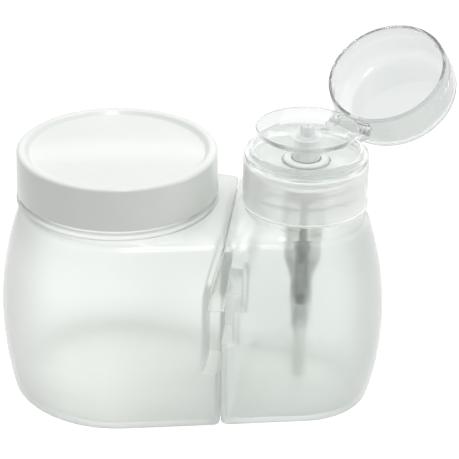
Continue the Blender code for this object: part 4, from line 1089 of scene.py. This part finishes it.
hub_hole = NOZZLE_SHANK_R + SEAT_GAP
ceiling = STEM_TOP_Z + SEAT_GAP
flare = [(DISH_FLOOR_R + (DISH_RIM_R - DISH_FLOOR_R) * t,
          DISH_FLOOR_Z + (DISH_RIM_Z - DISH_FLOOR_Z) * t ** 1.5) for t in span(0.0, 0.93, 9)]
under = [(r + 0.35 * DISH_WALL * t, z - DISH_WALL * (1.0 - 0.15 * t))
         for (r, z), t in zip(flare, span(0.0, 1.0, 9))]
spun("clear_dish", "press_dish", CLEAR_DISH, "dish", LARGE_SEGMENTS, [
    (hub_hole, DISH_FLOOR_Z, FINE), *((r, z, 0.0) for r, z in flare),
    (DISH_RIM_R - 0.35 * DISH_WALL, DISH_RIM_Z, SOFT), (DISH_RIM_R, DISH_RIM_Z - 0.4 * DISH_WALL, MILD),
    *((min(r, DISH_RIM_R - DISH_UNDERCUT), z, 0.0) for r, z in under[::-1]), (HUB_R, DISH_Z, WIDE),
    (SKIRT_TOP_R, DISH_Z - SKIRT_SHOULDER, WIDE), (SKIRT_R, SKIRT_LOW_Z, SLIM),
    (SKIRT_R - SKIRT_WALL, SKIRT_LOW_Z, SLIM), (STEM_R + SEAT_GAP, DISH_Z - NOZZLE_SHANK_H, SOFT),
    (STEM_R + SEAT_GAP, ceiling, 0.0), (hub_hole, ceiling, 0.0)])

seat = DISH_FLOOR_Z + SEAT_GAP
spun("nozzle_knob", "outlet_nozzle", CLOUDY, "dish", SMALL_SEGMENTS, [
    (NOZZLE_BORE_R, seat + NOZZLE_RISE, SLIM), (NOZZLE_R - 0.2 * MM, seat + NOZZLE_RISE, BROAD),
    (NOZZLE_R, seat + 0.5 * NOZZLE_RISE, SOFT), (NOZZLE_R, seat, FINE), (NOZZLE_SHANK_R, seat, TINY),
    (NOZZLE_SHANK_R, seat - NOZZLE_SHANK_H, FINE), (NOZZLE_BORE_R, seat - NOZZLE_SHANK_H, 0.0)])

stem_profile = [
    (STEM_R, PISTON_LOW_Z), (STEM_R, STEM_TOP_Z), (STEM_BORE_R, STEM_TOP_Z), (STEM_BORE_R, STEM_SEAT_Z),
    (STEM_SEAT_R, STEM_SEAT_Z), (STEM_SEAT_R, STEM_SEAT_Z - STEM_R),
    (STEM_BORE_R, STEM_SEAT_Z - STEM_R - STEM_SEAT_R), (STEM_BORE_R, PISTON_LOW_Z)]
make_piece("stem_tube", turned(stem_profile, SMALL_SEGMENTS, AXIS_SPACING), NATURAL, "dish",
           ["pump_stem"])

cup_hole = STEM_R + RUN_GAP
cup_lip_r = SKIRT_R + CUP_LIP_GAP
spun("pump_cup", "pump_cover", CUP_WHITE, "pump", MIDDLE_SEGMENTS, [
    (cup_lip_r, CUP_TOP_Z, FINE), (CUP_R, CUP_TOP_Z, 0.7 * MM), (CUP_R, CUP_LOW_Z, SOFT),
    (cup_hole, CUP_LOW_Z, FINE), (cup_hole, CUP_FLOOR_TOP_Z, FINE),
    (CUP_R - CUP_WALL, CUP_FLOOR_TOP_Z, FULL), (CUP_R - CUP_WALL, CUP_TOP_Z - CUP_LIP_H, FINE),
    (cup_lip_r, CUP_TOP_Z - CUP_LIP_H, FINE)])

seat_bore = CUP_R + SEAT_GAP
flange_top = FLANGE_Z + FLANGE_H
chamber_r = CHAMBER_BORE_R + CHAMBER_WALL
socket_bore = TUBE_R + SEAT_GAP
socket_r = socket_bore + CHAMBER_WALL
spun("pump_barrel", "pump_housing", BARREL, "pump", MIDDLE_SEGMENTS, [
    (FLANGE_R, flange_top, FINE), (FLANGE_R, FLANGE_Z, FINE),
    (seat_bore + HOUSING_WALL, FLANGE_Z, FULL),
    (seat_bore + HOUSING_WALL, CUP_SEAT_Z - HOUSING_WALL, FULL),
    (BARREL_BORE_R + HOUSING_WALL, CUP_SEAT_Z - 2.0 * HOUSING_WALL, FULL),
    (BARREL_BORE_R + HOUSING_WALL, BARREL_LOW_Z, FULL),
    (WAIST_BORE_R + HOUSING_WALL, BARREL_LOW_Z - HOUSING_WALL, FULL),
    (WAIST_BORE_R + HOUSING_WALL, WAIST_LOW_Z, DEEP), (chamber_r, FUNNEL_LOW_Z, DEEP),
    (chamber_r, SOCKET_Z, SOFT), (socket_r, SOCKET_Z - CHAMBER_WALL, FINE),
    (socket_r, SOCKET_LOW_Z, SOFT), (socket_bore, SOCKET_LOW_Z, FINE), (socket_bore, SOCKET_Z, 0.0),
    (INLET_SEAT_R, SOCKET_Z, 0.0), (INLET_SEAT_R, INLET_SEAT_Z, 0.0), (CELL_BORE_R, INLET_SEAT_Z, 0.0),
    (CELL_BORE_R, LEDGE_Z, 0.0), (CHAMBER_BORE_R, LEDGE_Z, 0.0), (CHAMBER_BORE_R, FUNNEL_LOW_Z, DEEP),
    (WAIST_BORE_R, WAIST_LOW_Z, DEEP), (WAIST_BORE_R, BARREL_LOW_Z - HOUSING_WALL, FULL),
    (BARREL_BORE_R, BARREL_LOW_Z, FULL), (BARREL_BORE_R, CUP_SEAT_Z, 0.0), (seat_bore, CUP_SEAT_Z, 0.0),
    (seat_bore, flange_top, FINE)])

spun("suction_tube", "dip_tube", NATURAL, "pump", SMALL_SEGMENTS, [
    (TUBE_R, TUBE_LOW_Z, TINY), (TUBE_R, SOCKET_Z - SEAT_GAP, TINY),
    (TUBE_R - TUBE_WALL, SOCKET_Z - SEAT_GAP, TINY), (TUBE_R - TUBE_WALL, TUBE_LOW_Z, TINY)], steps=2)

rod_top = PISTON_LOW_Z - SEAT_GAP
shank_r = STEM_BORE_R - SEAT_GAP
head_low = rod_top - ROD_HEAD_H
foot_top = ROD_FOOT_Z + ROD_FOOT_H
tip = ROD_FOOT_Z - ROD_TIP_H
spun("push_rod", "plunger_rod", GREY, "dish", SMALL_SEGMENTS, [
    (0.0, rod_top + ROD_NECK_H, 0.0), (shank_r, rod_top + ROD_NECK_H, SOFT), (shank_r, rod_top, 0.0),
    (ROD_HEAD_R, rod_top, FINE), (ROD_HEAD_R, head_low, FINE), (ROD_R, head_low, FINE),
    (ROD_R, foot_top, SOFT), (ROD_FOOT_R, foot_top - ROD_SLOPE, SOFT), (ROD_FOOT_R, ROD_FOOT_Z, FINE),
    (ROD_R, ROD_FOOT_Z, TINY), (ROD_R, tip + ROD_SLOPE, SOFT), (0.5 * ROD_R, tip, FINE),
    (0.0, tip, 0.0)])


def coil_shape():
    """Return spring as one even helix of round wire."""
    total = SPRING_CURLS * CURL_SEGMENTS
    low = SPRING_Z + 0.5 * SPRING_WIRE
    rise = SPRING_H - SPRING_WIRE
    up = Vector((0.0, 0.0, 1.0))
    rings = []
    for k in range(total + 1):
        turn = math.tau * k / CURL_SEGMENTS
        out = Vector((math.cos(turn), math.sin(turn), 0.0))
        centre = Vector((AXIS_SPACING, 0.0, low + rise * k / total)) + out * SPRING_R
        rings.append([tuple(centre + 0.5 * SPRING_WIRE * (math.cos(a) * out + math.sin(a) * up))
                      for a in span(0.0, math.tau, WIRE_SEGMENTS)[:-1]])
    return shell(rings, ends=True)


spring = make_piece("coil_spring", coil_shape(), STEEL, "pump", ["return_spring"])
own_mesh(spring)

for node, material in (("piston", NATURAL), ("piston_seal", RUBBER), ("ball_cage", NATURAL),
                       ("inlet_ball", STEEL), ("outlet_ball", STEEL)):
    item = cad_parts[node]
    item.data.materials.clear()
    item.data.materials.append(material)

# Floor, background, lights and camera

floor_mesh = bpy.data.meshes.new("studio_floor")
floor_mesh.from_pydata([(-FLOOR_REACH, -FLOOR_REACH, 0.0), (FLOOR_REACH, -FLOOR_REACH, 0.0),
                        (FLOOR_REACH, FLOOR_REACH, 0.0), (-FLOOR_REACH, FLOOR_REACH, 0.0)],
                       [], [(0, 1, 2, 3)])
floor = placed("studio_floor", floor_mesh)
floor.location.z = -FLOOR_DROP


def background_share(tree):
    """1 for rays that show the background: from the camera, mirrored or let through."""
    path = add_node(tree, "LightPath", {}).outputs
    seen = worked(tree, "MAXIMUM", path["Is Camera Ray"], path["Is Glossy Ray"])
    return worked(tree, "MAXIMUM", seen, path["Is Transmission Ray"])


floor_material = base_material("pale_floor")
tree, shader, place = parts_of(floor_material)
shader.inputs["Roughness"].default_value = 0.9
shader.inputs["Specular IOR Level"].default_value = 0.1
shader.inputs["Emission Color"].default_value = (1.0, 1.0, 1.0, 1.0)
cloud = noise(tree, place, 3.0)
tree.links.new(two_tone(tree, cloud, (0.90, 0.90, 0.90), (0.92, 0.92, 0.92)),
               shader.inputs["Base Color"])
toned(floor_material, "radius", (0.0, 0.0, 0.0), ((FLOOR_FADE[0], 0.0), (FLOOR_FADE[1], 1.0)))
fade = ranged(tree, axis_distance(tree, place, 0.0, 0.0), *FLOOR_FADE, FLOOR_LIFT, 1.0)
tree.links.new(worked(tree, "MULTIPLY", background_share(tree), fade),
               shader.inputs["Emission Strength"])
floor_mesh.materials.append(floor_material)

world = bpy.data.worlds.new("studio_world")
bpy.context.scene.world = world
world.use_nodes = True
tree = world.node_tree
background = tree.nodes["Background"]
background.inputs["Color"].default_value = (1.0, 1.0, 1.0, 1.0)
tree.links.new(ranged(tree, background_share(tree), 0.0, 1.0, WORLD_LEVEL, 1.0),
               background.inputs["Strength"])

for name, (place, size, power) in LAMPS.items():
    lamp = bpy.data.lights.new(name, "AREA")
    lamp.shape = "RECTANGLE"
    lamp.size, lamp.size_y = size
    lamp.energy = power
    item = placed(name, lamp)
    item.location = place
    item.rotation_euler = (Vector(LAMP_AIM) - Vector(place)).to_track_quat("-Z", "Y").to_euler()

camera_data = bpy.data.cameras.new("camera")
camera_data.sensor_width = SENSOR_WIDTH
camera_data.lens = FOCAL_PIXELS / FRAME_PIXELS * SENSOR_WIDTH
camera_data.clip_start = 0.01
camera_data.clip_end = 20.0
camera = placed("camera", camera_data)
aim = (Matrix.Rotation(CAM_YAW, 4, "Z")
       @ Matrix.Rotation(0.5 * math.pi - CAM_ELEVATION, 4, "X"))
camera.matrix_world = (Matrix.Translation(CAM_TARGET) @ aim
                       @ Matrix.Translation((CAM_RIGHT, CAM_UP, CAM_DISTANCE))
                       @ Matrix.Rotation(CAM_ROLL, 4, "Z"))
bpy.context.scene.camera = camera
bpy.context.scene.view_settings.view_transform = "Standard"
